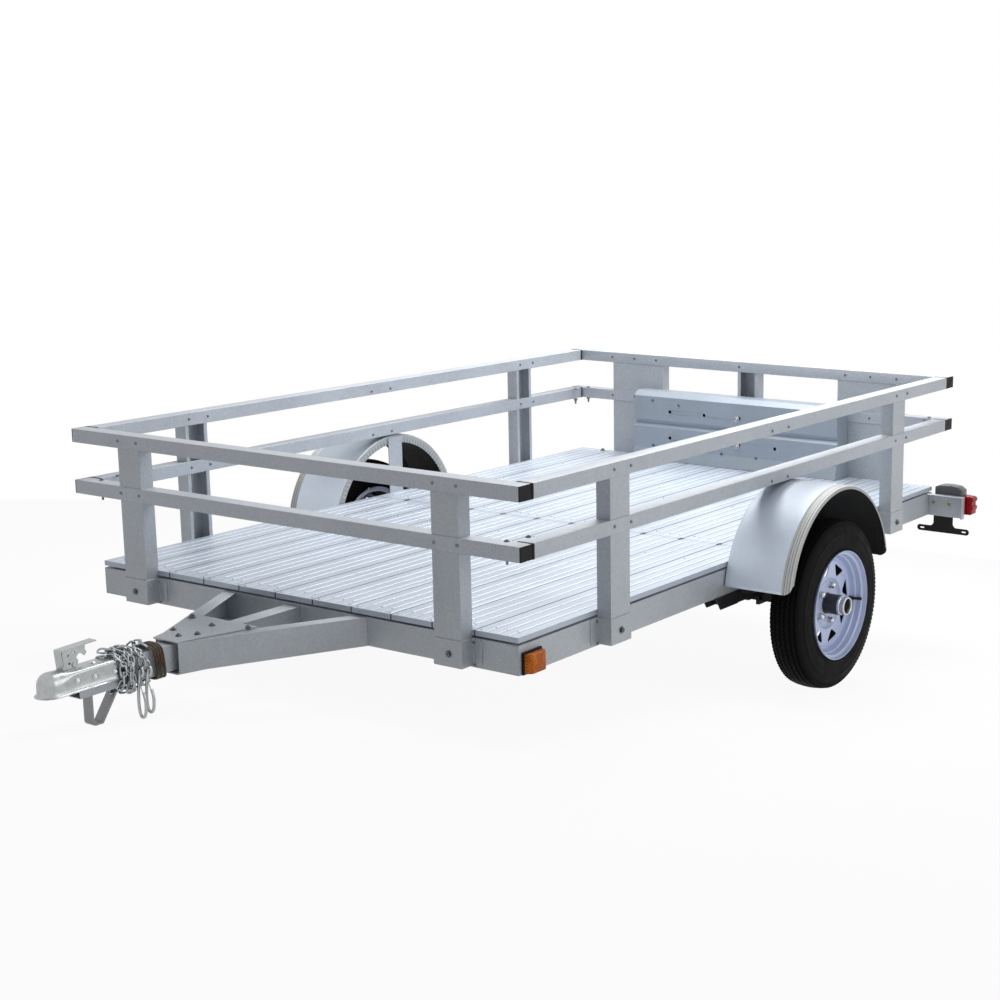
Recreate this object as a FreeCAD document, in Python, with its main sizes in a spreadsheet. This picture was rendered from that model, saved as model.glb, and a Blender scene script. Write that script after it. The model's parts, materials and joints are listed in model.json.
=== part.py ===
import FreeCAD, Part
import math
import os
import re

import Sketcher
from FreeCAD import Placement, Rotation, Vector

# A single-axle utility trailer of folded, galvanised sheet, in millimetres.
# It is drawn level, with X forward from the bed's front face, Y to the left
# and Z up from the ground under its wheels, and then stood nose-down on the
# strap under its tongue, as it parks. Pieces on both sides are drawn on the
# left and mirrored.

SIZES = (
    # name, value, what it measures
    ("plank_count", 11, "deck planks side by side"),
    ("plank_pitch", 143, "from one plank to the next"),
    ("plank_seam", 1.5, "open seam between two planks"),
    ("plank_sheet", 1.5, "deck sheet"),
    ("seat_strip", 6, "strip between the planks and the beams"),
    ("strip_inset", 15, "strip behind the face of an end beam"),
    ("rim_drop", 15, "depth of a plank's turned edges"),
    ("front_planks", 1200, "length of the front row of planks"),
    ("rear_planks", 1244, "length of the rear row of planks"),
    ("bead_width", 9, "raised rib on a plank, at its foot"),
    ("bead_taper", 2, "slope of a rib's side"),
    ("bead_height", 1.5, "rib above the sheet"),
    ("bead_pitch", 36, "between the ribs of a plank"),
    ("bead_margin", 45, "plain sheet at a rib's ends"),
    ("beam_height", 80, "beams, arms and their brackets"),
    ("beam_flange", 40, "channel flange"),
    ("beam_sheet", 3, "channel wall"),
    ("cross_width", 50, "crossmember width"),
    ("rail_depth", 50, "rail tube, across the wall of the bed"),
    ("rail_height", 40, "rail tube, upright"),
    ("rail_wall", 2, "rail tube wall"),
    ("top_rail_height", 423, "top of the upper rails above the beams"),
    ("mid_rail_height", 270, "top of the middle rails above the beams"),
    ("cap_sheet", 3, "black end cap"),
    ("post_width", 90, "front and side posts"),
    ("post_lip", 14, "inturned lip of a post"),
    ("post_sheet", 2, "post wall"),
    ("post_setback", 2, "post face behind the rail face"),
    ("front_post_y", 592, "front post centre from the middle"),
    ("side_post_end", 434, "side post centre from the bed's end"),
    ("wide_post_width", 240, "rear corner post"),
    ("wide_post_y", 510, "rear corner post centre"),
    ("pocket_sheet", 2.5, "stake pocket wall"),
    ("pocket_flange", 32, "bolted wing of a pocket"),
    ("pocket_height", 74, "stake pocket"),
    ("wing_corner", 8, "cut corner of a pocket's wing"),
    ("pan_width", 905, "tail panel"),
    ("pan_offset", 15, "tail panel to the right of the middle"),
    ("pan_depth", 86, "tail panel, front to back"),
    ("pan_sheet", 2, "tail panel wall"),
    ("pan_lower_height", 129.5, "lower pan"),
    ("pan_toe", 12, "flare of the lower pan's foot"),
    ("pan_toe_height", 47.5, "height of that flare"),
    ("pan_groove", 30, "groove between the pans"),
    ("pan_groove_depth", 12, "depth of that groove"),
    ("pan_face", 91, "upright face of the upper pan"),
    ("pan_crest", 18, "sloping top edge of the upper pan"),
    ("pan_lean", 20, "how far that edge leans back"),
    ("hole_radius", 6.4, "hole in the tail panel"),
    ("hole_count", 4, "holes in a row"),
    ("hole_first", 300, "first hole to the right of the middle"),
    ("hole_pitch", 158, "between the holes of a row"),
    ("lower_hole", 91.5, "lower row above the foot of the panel"),
    ("upper_hole", 194.5, "upper row above the foot of the panel"),
    ("wheel_x", -1353, "axle from the bed's front face"),
    ("wheel_y", 958, "wheel centre plane"),
    ("wheel_turn", 10, "first window forward of the top"),
    ("tyre_radius", 265, "tyre"),
    ("tyre_width", 122, "tyre section"),
    ("tread_width", 92, "flat of the tread"),
    ("tyre_shoulder", 25, "slope from the tread to the sidewall"),
    ("rim_flange", 18, "rim lip outside the bead seat"),
    ("rim_seat", 152, "bead seat"),
    ("rim_lip", 3, "rim lip beside the tyre"),
    ("rim_sheet", 6, "rim wall"),
    ("disc_inset", 14, "wheel disc inside the centre plane"),
    ("disc_sheet", 4, "wheel disc"),
    ("window_count", 8, "windows round the wheel disc"),
    ("window_tip", 91, "pointed end of a window, from the centre"),
    ("window_base", 122, "wide end of a window, from the centre"),
    ("window_half", 21, "half of a window's wide end"),
    ("window_corner", 4, "cut corner of a window"),
    ("hub_radius", 31, "hub barrel"),
    ("hub_flange_radius", 72, "hub flange"),
    ("hub_flange", 9, "hub flange thickness"),
    ("hub_out", 80, "hub barrel outside the disc"),
    ("hub_part", 3, "hub barrel's part of the way from its flange to the axle clamps"),
    ("cap_radius", 25.6, "grease cap"),
    ("cap_length", 18, "grease cap"),
    ("spindle_radius", 16, "stub that the hub turns on"),
    ("spindle_gap", 6, "stub's end inside the barrel's end"),
    ("hub_clearance", 0.05, "running gap round the stub"),
    ("axle_size", 40, "square axle tube"),
    ("axle_gap", 10, "axle tube behind the hub barrel"),
    ("spring_half", 290, "spring eye from the axle"),
    ("spring_width", 45, "leaf width"),
    ("leaf_sheet", 7, "leaf"),
    ("short_leaf_half", 170, "half length of the second leaf"),
    ("eye_radius", 13, "spring eye"),
    ("spring_gap", 8, "spring eye below the hanger's plate"),
    ("hanger_length", 150, "spring hanger along the beam"),
    ("hanger_taper", 26, "how much each end of a hanger narrows"),
    ("hanger_sheet", 4, "hanger wall"),
    ("clamp_rod", 11, "square rod of an axle clamp"),
    ("clamp_plate", 8, "plate on top of the spring"),
    ("clamp_edge", 5, "that plate outside its rods"),
    ("clamp_end", 12, "rod above that plate"),
    ("fender_gap", 53, "fender outside the tyre"),
    ("fender_rise", 53, "fender centre above the axle"),
    ("fender_width", 229, "fender across"),
    ("fender_sheet", 1.5, "fender sheet"),
    ("fender_angle", 165, "fender arc"),
    ("fender_flange", 30, "upright flange on the bed's side"),
    ("fender_lip", 8, "turned outer edge"),
    ("fender_corner", 25, "rounded outer corner"),
    ("bracket_sheet", 3, "fender bracket"),
    ("bracket_width", 70, "fender bracket along the beam"),
    ("bracket_short", 8, "fender bracket below the fender's top"),
    ("tongue_width", 50, "tongue tube"),
    ("tongue_height", 70, "tongue tube"),
    ("tongue_wall", 3, "tongue tube wall"),
    ("tongue_short", 66, "front end of the tongue behind the ball"),
    ("arm_tip_x", 405, "front end of the frame arms"),
    ("arm_tip_y", 42, "outer face of an arm at its tip"),
    ("arm_root_y", 272, "outer face of an arm at the beam"),
    ("gusset_front", 412, "gusset plate's front edge"),
    ("gusset_rear", 190, "gusset plate's rear edge"),
    ("gusset_margin", 46, "arm outside the gusset's rear edge"),
    ("gusset_sheet", 4, "gusset plate"),
    ("ball_x", 766, "hitch ball centre"),
    ("ball_drop", 19, "ball centre below the tongue's top"),
    ("ball_radius", 25.7, "hitch ball socket"),
    ("socket_roof", 20, "socket above the ball centre"),
    ("nose_wall", 6, "coupler wall round the socket"),
    ("dome_shoulder_height", 16, "start of the dome above the ball centre"),
    ("dome_top_radius", 22, "radius of the dome's flat top"),
    ("coupler_length", 210, "coupler behind the ball centre"),
    ("coupler_wall", 4, "coupler wall round the tongue"),
    ("coupler_skirt", 29, "coupler below the ball centre"),
    ("lip_reach", 7, "turned bottom edge, outwards"),
    ("lip_sheet", 4, "turned bottom edge"),
    ("lip_length", 166, "turned bottom edge behind the ball centre"),
    ("latch_width", 26, "coupler lever"),
    ("latch_sheet", 3, "coupler lever wall"),
    ("stand_front", 662, "front face of the tongue stand"),
    ("stand_drop", 82, "tongue stand below the tube"),
    ("stand_strap", 6, "stand strap"),
    ("stand_width", 32, "stand strap, across"),
    ("stand_foot", 12, "outer bend of the foot"),
    ("stand_flat", 30, "flat of the foot"),
    ("stand_run", 88, "stand along the tube"),
    ("coil_x", 452, "wiring coil centre"),
    ("coil_length", 44, "wiring coil along the tube"),
    ("coil_thick", 12, "wiring coil"),
    ("coil_corner", 16, "rounded corner of the coil"),
    ("plug_width", 24, "wiring plug along the tube"),
    ("plug_height", 40, "wiring plug, upright"),
    ("plug_thick", 10, "wiring plug"),
    ("chain_wire", 5, "chain wire"),
    ("link_length", 34, "chain link"),
    ("link_width", 20, "chain link"),
    ("link_corner", 5, "cut corner of a link"),
    ("chain_links", 13, "links in each chain"),
    ("chain_advance", 1.6, "one link of a chain along the tube"),
    ("hook_x", 515, "rear hook"),
    ("hook_pitch", 33, "from one hook to the other"),
    ("marker_x", -98, "side marker centre"),
    ("marker_length", 80, "side marker base"),
    ("marker_height", 60, "side marker base"),
    ("marker_base", 6, "side marker base, out from the beam"),
    ("marker_edge", 4, "base outside its lens"),
    ("marker_lens", 22, "side marker lens, out from its base"),
    ("marker_slope", 10, "slope of a side marker's ends"),
    ("tail_inset", 27, "tail bracket ahead of the beams' rear end"),
    ("tail_arm", 140, "tail bracket outside the beam"),
    ("tail_fold", 22, "folded edge of the tail bracket"),
    ("lamp_rise", 12, "lamp above the bottom of the beams"),
    ("right_lamp_drop", 60, "right tail lamp and its bracket below the left ones"),
    ("lamp_start", 14, "lamp outside the beam"),
    ("lamp_width", 136, "tail lamp housing"),
    ("lamp_height", 104, "tail lamp housing"),
    ("lamp_depth", 46, "tail lamp housing"),
    ("lamp_slope", 16, "cut top edge of the housing"),
    ("lens_depth", 18, "tail lamp lens"),
    ("plate_middle", 58, "plate bracket centre outside the beam"),
    ("plate_sheet", 2, "plate bracket"),
    ("plate_neck", 76, "neck of the plate bracket"),
    ("plate_bar", 204, "bar of the plate bracket"),
    ("plate_depth", 20, "bar of the plate bracket, upright"),
    ("plate_drop", 52, "plate bracket below the beams"),
    ("plate_flare", 16, "where the neck widens into the bar"),
    ("slot_length", 30, "slot in the plate bracket"),
    ("slot_width", 7, "slot in the plate bracket"),
    ("slot_end", 16, "slot from the bar's end"),
)
NAMES = {name for name, value, note in SIZES}

# sizes that follow from the table
HALF_DECK = "plank_count * plank_pitch / 2"
INSET = "(rail_depth - post_setback)"
DECK_LENGTH = "(front_planks + rear_planks)"
BED_LENGTH = f"({DECK_LENGTH} + 2 * {INSET})"
HALF_BED = f"({HALF_DECK} + {INSET})"
SHORT_LEAF_TOP = "(axle_size / 2 + leaf_sheet)"
MAIN_LEAF_TOP = f"({SHORT_LEAF_TOP} + leaf_sheet)"
EYE_RISE = f"({SHORT_LEAF_TOP} + eye_radius)"
BEAM_BOTTOM = f"(tyre_radius + {EYE_RISE} + eye_radius + spring_gap + hanger_sheet)"
BEAM_TOP = f"({BEAM_BOTTOM} + beam_height)"
PLANK_BOTTOM = f"({BEAM_TOP} + seat_strip)"
DECK_TOP = f"({PLANK_BOTTOM} + rim_drop)"
POST_DEPTH = f"({INSET} - post_setback)"
POCKET_BOTTOM = f"({BEAM_TOP} - pocket_height)"
REAR_SEAT = f"({INSET} - {BED_LENGTH})"
SPRING_Y = f"({HALF_DECK} - beam_flange / 2)"
DISC_OUT = "(-disc_inset)"
DISC_IN = "(-disc_inset - disc_sheet)"
CLAMP_OUT = f"({SPRING_Y} + spring_width / 2 + clamp_rod + clamp_edge)"
HUB_FLANGE_IN = f"({DISC_IN} - hub_flange)"
HUB_END = f"({HUB_FLANGE_IN} - (wheel_y + {HUB_FLANGE_IN} - {CLAMP_OUT}) / hub_part)"
AXLE_END = f"(wheel_y + {HUB_END} - axle_gap)"
FENDER_RADIUS = "(tyre_radius + fender_gap)"
FENDER_CENTRE = "(tyre_radius + fender_rise)"
TONGUE_TOP = f"({BEAM_TOP} - (beam_height - tongue_height) / 2)"
TONGUE_BOTTOM = f"({TONGUE_TOP} - tongue_height)"
HALF_TONGUE = "(tongue_width / 2)"
STAND_REAR = "(stand_front - stand_run)"

doc = FreeCAD.newDocument("UtilityTrailer")
sheet = doc.addObject("Spreadsheet::Sheet", "Sizes")
for row, (name, value, note) in enumerate(SIZES, start=1):
    sheet.set(f"A{row}", name)
    sheet.set(f"B{row}", str(value))
    sheet.set(f"C{row}", note)
    sheet.setAlias(f"B{row}", name)
doc.recompute()

sub_parts = []


def formula(text):
    """The text as an expression that reads the sheet."""
    return re.sub(r"[a-z_]+", lambda word: f"Sizes.{word[0]}" if word[0] in NAMES else word[0], text)


def size(text):
    return float(sheet.evalExpression(formula(text)))


def bind(thing, prop, text):
    thing.setExpression(prop, formula(text))


def draw(sketch, points):
    """Adds a closed outline to the sketch. Each point is its two coordinates,
    and the radius of the arc that arrives there, if one does: negative turns
    clockwise."""
    spots = [Vector(size(point[0]), size(point[1])) for point in points]
    first = sketch.GeometryCount
    clockwise = [len(point) == 3 and size(point[2]) < 0 for point in points]
    for index, point in enumerate(points):
        start, end = spots[index - 1], spots[index]
        if len(point) == 2:
            sketch.addGeometry(Part.LineSegment(start, end))
            continue
        if clockwise[index]:
            start, end = end, start
        radius = abs(size(point[2]))
        half = (end - start) / 2
        left = Vector(-half.y, half.x).normalize()
        centre = start + half + left * math.sqrt(max(radius ** 2 - half.Length ** 2, 0))
        turns = [math.atan2(spot.y - centre.y, spot.x - centre.x) for spot in (start, end)]
        circle = Part.Circle(centre, Vector(0, 0, 1), radius)
        sketch.addGeometry(Part.ArcOfCircle(circle, *turns))
    for index, point in enumerate(points):
        edge = first + index
        following = (index + 1) % len(points)
        arrives = 1 if clockwise[index] else 2
        leaves = 2 if clockwise[following] else 1
        sketch.addConstraint(Sketcher.Constraint("Coincident", edge, arrives, first + following, leaves))
        for axis, text, at in (("X", point[0], spots[index].x), ("Y", point[1], spots[index].y)):
            tied = Sketcher.Constraint(f"Distance{axis}", -1, 1, edge, arrives, at)
            constrain(sketch, tied, text)
        if len(point) == 3:
            constrain(sketch, Sketcher.Constraint("Radius", edge, abs(size(point[2]))), f"abs({point[2]})")


def constrain(sketch, constraint, text):
    index = sketch.addConstraint(constraint)
    name = f"size{index}"
    sketch.renameConstraint(index, name)
    bind(sketch, f"Constraints.{name}", text)


def draw_circle(sketch, across, up, radius):
    centre = Vector(size(across), size(up))
    edge = sketch.addGeometry(Part.Circle(centre, Vector(0, 0, 1), size(radius)))
    constrain(sketch, Sketcher.Constraint("DistanceX", -1, 1, edge, 3, centre.x), across)
    constrain(sketch, Sketcher.Constraint("DistanceY", -1, 1, edge, 3, centre.y), up)
    constrain(sketch, Sketcher.Constraint("Radius", edge, size(radius)), radius)


def new_body(name):
    return doc.addObject("PartDesign::Body", name)


def new_sketch(body, plane, offset, loops):
    """A sketch on a plane of the body, moved along that plane's axis."""
    sketch = body.newObject("Sketcher::SketchObject", "Outline")
    origin_plane = next(item for item in body.Origin.OriginFeatures if item.Role == f"{plane}_Plane")
    sketch.AttachmentSupport = [(origin_plane, "")]
    sketch.MapMode = "FlatFace"
    # the XZ plane looks along -Y
    bind(sketch, "AttachmentOffset.Base.z", f"-({offset})" if plane == "XZ" else offset)
    for loop in loops:
        if len(loop) == 3 and isinstance(loop[0], str):
            draw_circle(sketch, *loop)
        else:
            draw(sketch, loop)
    return sketch


def pad(body, plane, start, length, *loops):
    """Adds the outline to the body, from start along the plane's axis."""
    feature = body.newObject("PartDesign::Pad", "Pad")
    feature.Profile = new_sketch(body, plane, start, loops)
    feature.Reversed = plane == "XZ"
    bind(feature, "Length", length)
    return feature


def pocket(body, plane, start, length, *loops):
    """Cuts the outline out of the body, from start along the plane's axis."""
    feature = body.newObject("PartDesign::Pocket", "Pocket")
    feature.Profile = new_sketch(body, plane, start, loops)
    feature.Reversed = plane != "XZ"
    bind(feature, "Length", length)
    return feature


def revolve(body, kind, *loops, angle="360", axis="H_Axis"):
    """Turns the outline on the YZ plane about the body's Y axis, or its Z axis."""
    feature = body.newObject(f"PartDesign::{kind}", kind)
    sketch = new_sketch(body, "YZ", "0", loops)
    feature.Profile = sketch
    feature.ReferenceAxis = (sketch, [axis])
    bind(feature, "Angle", angle)
    feature.Midplane = True
    return feature


def prism(name, plane, start, length, *loops):
    body = new_body(name)
    pad(body, plane, start, length, *loops)
    return body


def place(thing, across="0", along="0", up="0"):
    """Puts the origin of a body at X, Y and Z."""
    for axis, text in (("x", across), ("y", along), ("z", up)):
        bind(thing, f"Placement.Base.{axis}", text)
    return thing


def block(low_a, low_b, high_a, high_b):
    return ((low_a, low_b), (high_a, low_b), (high_a, high_b), (low_a, high_b))


def polar(body, feature, count):
    """Repeats a feature round the body's Y axis."""
    pattern = body.newObject("PartDesign::PolarPattern", "Pattern")
    pattern.Originals = [feature]
    axis = next(item for item in body.Origin.OriginFeatures if item.Role == "Y_Axis")
    pattern.Axis = (axis, [""])
    pattern.Angle = 360
    bind(pattern, "Occurrences", count)
    feature.Visibility = False
    body.Tip = pattern
    return pattern


def copy(thing, across="0", along="0", up="0"):
    """Another of the same thing, moved."""
    link = doc.addObject("App::Link", f"{thing.Name}_copy")
    link.LinkedObject = thing
    return place(link, across, along, up)


def turn(thing, axis, angle):
    thing.Placement.Rotation = Rotation(Vector(*axis), 1)
    bind(thing, "Placement.Rotation.Angle", angle)
    return thing


def flipped(*loops):
    """The outlines with their two directions exchanged."""
    return [tuple((across, along) for along, across in loop) for loop in loops]


def mirrored(thing):
    other = doc.addObject("Part::Mirroring", f"{thing.Name}_right")
    other.Source = thing
    other.Base = (0, 0, 0)
    other.Normal = (0, 1, 0)
    return other


def cut(name, base, tool):
    result = doc.addObject("Part::Cut", name)
    result.Base = base
    result.Tool = tool
    return result


def sub_part(label, *solids):
    part = doc.addObject("Part::Compound", label)
    part.Links = list(solids)
    part.Label = label
    sub_parts.append(part)
    return part


def both_sides(label, *solids):
    sub_part(label, *solids, *[mirrored(solid) for solid in solids])


def left_and_lower_right(label, solid):
    sub_part(label, solid, copy(mirrored(solid), "0", "0", "-right_lamp_drop"))


def left_and_right(label, solid):
    sub_part(f"{label}_left", solid)
    sub_part(f"{label}_right", mirrored(solid))


def channel(open_side, web, tip, low, high, wall):
    """Outline of a channel: its web's outer face, its flanges' tips, and its
    bottom and top. open_side is 1 where it opens towards higher values."""
    inner = f"{web} + {open_side} * {wall}"
    return (
        (web, low), (tip, low), (tip, f"{low} + {wall}"), (inner, f"{low} + {wall}"),
        (inner, f"{high} - {wall}"), (tip, f"{high} - {wall}"), (tip, high), (web, high),
    )


def lipped_channel(centre, width, lip, wall, web, back, turned=False):
    """Outline of a post: a channel whose flanges turn in again as lips."""
    left, right = f"{centre} - {width} / 2", f"{centre} + {width} / 2"
    side = "-1" if size(back) < size(web) else "1"
    web_in, back_in = f"{web} + {side} * {wall}", f"{back} - {side} * {wall}"
    points = (
        (left, back), (left, web), (right, web), (right, back),
        (f"{right} - {lip}", back), (f"{right} - {lip}", back_in),
        (f"{right} - {wall}", back_in), (f"{right} - {wall}", web_in),
        (f"{left} + {wall}", web_in), (f"{left} + {wall}", back_in),
        (f"{left} + {lip}", back_in), (f"{left} + {lip}", back),
    )
    return tuple((down, across) for across, down in points) if turned else points


# frame

def make_beams():
    side = prism(
        "SideBeam", "YZ", f"-{INSET} - {DECK_LENGTH}", DECK_LENGTH,
        channel("-1", HALF_DECK, f"{HALF_DECK} - beam_flange", BEAM_BOTTOM, BEAM_TOP, "beam_sheet"),
    )
    both_sides("side_beams", side)
    # the cross beams' flanges are coped clear of the side beams' flanges
    half_flange = f"({HALF_DECK} - beam_flange)"
    half_web = f"({HALF_DECK} - beam_sheet)"
    for label, web, open_side in (("front_beam", f"-{INSET}", "-1"), ("rear_beam", REAR_SEAT, "1")):
        body = prism(
            label.title(), "XZ", f"-{half_flange}", f"2 * {half_flange}",
            channel(
                open_side, web, f"{web} + {open_side} * beam_flange", BEAM_BOTTOM, BEAM_TOP, "beam_sheet"),
        )
        inner = f"{web} + {open_side} * beam_sheet"
        pad(body, "XZ", f"-{half_web}", f"2 * {half_web}", block(
            web, f"{BEAM_BOTTOM} + beam_sheet", inner, f"{BEAM_TOP} - beam_sheet"))
        pad(body, "XZ", f"-{half_flange}", f"2 * {half_flange}", block(
            f"{web} + {open_side} * strip_inset", BEAM_TOP,
            f"{web} + {open_side} * beam_flange", PLANK_BOTTOM))
        sub_part(label, body)
    crossmembers = []
    for middle in (
        f"-{INSET} - front_planks / 2",
        f"-{INSET} - front_planks",
        f"-{INSET} - front_planks - rear_planks / 2",
    ):
        rear, front = f"{middle} - cross_width / 2", f"{middle} + cross_width / 2"
        body = prism("Crossmember", "XZ", f"-{half_flange}", f"2 * {half_flange}",
                     channel("1", rear, front, BEAM_BOTTOM, BEAM_TOP, "beam_sheet"))
        pad(body, "XZ", f"-{half_flange}", f"2 * {half_flange}", block(rear, BEAM_TOP, front, PLANK_BOTTOM))
        crossmembers.append(body)
    sub_part("crossmembers", *crossmembers)


# deck

def make_deck():
    for label, start, length, end_flange in (
        ("deck_front", f"-{INSET} - front_planks", "front_planks", f"-{INSET} - plank_sheet"),
        ("deck_rear", REAR_SEAT, "rear_planks", REAR_SEAT),
    ):
        low, high = "plank_seam / 2", "plank_pitch - plank_seam / 2"
        under = f"{DECK_TOP} - plank_sheet"
        plank = prism(label.title(), "YZ", start, length, (
            (low, PLANK_BOTTOM), (f"{low} + plank_sheet", PLANK_BOTTOM), (f"{low} + plank_sheet", under),
            (f"{high} - plank_sheet", under), (f"{high} - plank_sheet", PLANK_BOTTOM),
            (high, PLANK_BOTTOM), (high, DECK_TOP), (low, DECK_TOP),
        ))
        pad(plank, "YZ", end_flange, "plank_sheet", block(low, PLANK_BOTTOM, high, DECK_TOP))
        beads = []
        for step in ("-1", "0", "1"):
            middle = f"plank_pitch / 2 + {step} * bead_pitch"
            foot, crown = "bead_width / 2", "(bead_width / 2 - bead_taper)"
            beads.append((
                (f"{middle} - {foot}", DECK_TOP), (f"{middle} + {foot}", DECK_TOP),
                (f"{middle} + {crown}", f"{DECK_TOP} + bead_height"),
                (f"{middle} - {crown}", f"{DECK_TOP} + bead_height"),
            ))
        pad(plank, "YZ", f"{start} + bead_margin", f"{length} - 2 * bead_margin", *beads)
        place(plank, "0", f"-{HALF_DECK}", "0")
        planks = [plank]
        for index in range(1, int(size("plank_count"))):
            planks.append(copy(plank, "0", f"{index} * plank_pitch - {HALF_DECK}", "0"))
        sub_part(label, *planks)


# rails

def tube_loops(low_a, low_b, high_a, high_b, wall):
    return (
        block(low_a, low_b, high_a, high_b),
        block(f"{low_a} + {wall}", f"{low_b} + {wall}", f"{high_a} - {wall}", f"{high_b} - {wall}"),
    )


def window_pocket(body, top, level, window):
    """Opens the rail for a post: right through, or only from below at the top."""
    height = "rail_wall" if level == "top" else "rail_height"
    pocket(body, "XY", f"{top} - rail_height", height, window)


def make_rails():
    caps = []
    inner_front, inner_rear = "-rail_depth", f"rail_depth - {BED_LENGTH}"
    half_tube = f"({HALF_BED} - cap_sheet)"
    seam = f"-{BED_LENGTH} / 2"
    cross_rails = {"front": [], "rear": []}
    side_halves = {"front": [], "rear": []}
    for level in ("top", "mid"):
        top = f"({BEAM_TOP} + {level}_rail_height)"
        low = f"({top} - rail_height)"
        for end, near, far, posts in (
            ("front", "-rail_depth", "0", (
                ("-front_post_y", "post_width"), ("front_post_y", "post_width"))),
            ("rear", f"-{BED_LENGTH}", inner_rear, (
                ("-wide_post_y", "wide_post_width"), ("0", "post_width"),
                ("wide_post_y", "wide_post_width"))),
        ):
            rail = prism("Rail", "XZ", f"-{half_tube}", f"2 * {half_tube}",
                         *tube_loops(near, low, far, top, "rail_wall"))
            for centre, width in posts:
                window_pocket(rail, top, level, block(
                    f"{near} + rail_wall", f"{centre} - {width} / 2",
                    f"{far} - rail_wall", f"{centre} + {width} / 2"))
            cross_rails[end].append(rail)
            for start in (f"-{HALF_BED}", half_tube):
                caps.append(prism("EndCap", "XZ", start, "cap_sheet", block(near, low, far, top)))
        inner, outer = f"{HALF_BED} - rail_depth", HALF_BED
        for end, start, stop, post in (
            ("front", seam, f"{inner_front} - cap_sheet", "-side_post_end"),
            ("rear", f"{inner_rear} + cap_sheet", seam, f"side_post_end - {BED_LENGTH}"),
        ):
            rail = prism("SideRail", "YZ", start, f"{stop} - ({start})",
                         *tube_loops(inner, low, outer, top, "rail_wall"))
            window_pocket(rail, top, level, block(
                f"{post} - post_width / 2", f"{inner} + rail_wall",
                f"{post} + post_width / 2", f"{outer} - rail_wall"))
            side_halves[end].append(rail)
        for start in (f"{inner_front} - cap_sheet", inner_rear):
            cap = prism("InnerCap", "YZ", start, "cap_sheet", block(inner, low, outer, top))
            caps.extend((cap, mirrored(cap)))
    for end in ("front", "rear"):
        sub_part(f"{end}_rails", *cross_rails[end])
        both_sides(f"side_rails_{end}", *side_halves[end])
    sub_part("rail_end_caps", *caps)


# posts

def make_posts():
    top = f"({BEAM_TOP} + top_rail_height - rail_wall)"
    height = f"{top} - {POCKET_BOTTOM}"
    web, back = "-post_setback", f"-{INSET}"
    front = prism("FrontPost", "XY", POCKET_BOTTOM, height, lipped_channel(
        "front_post_y", "post_width", "post_lip", "post_sheet", web, back, turned=True))
    both_sides("front_posts", front)
    side_web, side_back = f"{HALF_BED} - post_setback", HALF_DECK
    sides = [
        prism("SidePost", "XY", POCKET_BOTTOM, height, lipped_channel(
            centre, "post_width", "post_lip", "post_sheet", side_web, side_back))
        for centre in ("-side_post_end", f"side_post_end - {BED_LENGTH}")
    ]
    both_sides("side_posts", *sides)
    rear_back = f"post_setback - {BED_LENGTH}"
    middle = prism("MiddlePost", "XY", POCKET_BOTTOM, height, lipped_channel(
        "0", "post_width", "post_lip", "post_sheet", rear_back, REAR_SEAT, turned=True))
    sub_part("rear_middle_post", middle)
    wide = prism("WidePost", "XY", POCKET_BOTTOM, height, lipped_channel(
        "wide_post_y", "wide_post_width", "post_lip", "post_sheet", REAR_SEAT, rear_back, turned=True))
    both_sides("rear_corner_posts", wide)


def make_pockets():
    """Hat-shaped stake pockets that hold the posts' feet to the beams."""
    pockets = []
    for centre, width, seat, out, turned, twice in (
        ("front_post_y", "post_width", f"-{INSET}", "1", True, True),
        ("-side_post_end", "post_width", HALF_DECK, "1", False, True),
        (f"side_post_end - {BED_LENGTH}", "post_width", HALF_DECK, "1", False, True),
        ("0", "post_width", REAR_SEAT, "-1", True, False),
        ("wide_post_y", "wide_post_width", REAR_SEAT, "-1", True, True),
    ):
        left, right = f"{centre} - {width} / 2", f"{centre} + {width} / 2"
        wing_left, wing_right = f"{left} - pocket_flange", f"{right} + pocket_flange"
        step = f"{out} * pocket_sheet"
        face = f"{seat} + {out} * {POST_DEPTH}"
        points = (
            (wing_left, seat), (left, seat), (left, face), (right, face), (right, seat),
            (wing_right, seat), (wing_right, f"{seat} + {step}"),
            (f"{right} + pocket_sheet", f"{seat} + {step}"), (f"{right} + pocket_sheet", f"{face} + {step}"),
            (f"{left} - pocket_sheet", f"{face} + {step}"), (f"{left} - pocket_sheet", f"{seat} + {step}"),
            (wing_left, f"{seat} + {step}"),
        )
        outline = tuple((down, across) for across, down in points) if turned else points
        body = prism("Pocket", "XY", POCKET_BOTTOM, "pocket_height", outline)
        # the wings' corners are cut, seen along the pocket's depth
        corners = []
        for edge, side in ((wing_left, "1"), (wing_right, "-1")):
            for level, rise in ((POCKET_BOTTOM, "1"), (BEAM_TOP, "-1")):
                corners.append((
                    (edge, level), (f"{edge} + {side} * wing_corner", level),
                    (edge, f"{level} + {rise} * wing_corner"),
                ))
        plane, start = ("YZ", seat) if turned else ("XZ", seat)
        if out == "-1":
            start = f"{seat} - pocket_sheet"
        pocket(body, plane, start, "pocket_sheet", *corners)
        pockets.append(body)
        if twice:
            pockets.append(mirrored(body))
    sub_part("stake_pockets", *pockets)


# tail panel

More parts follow.
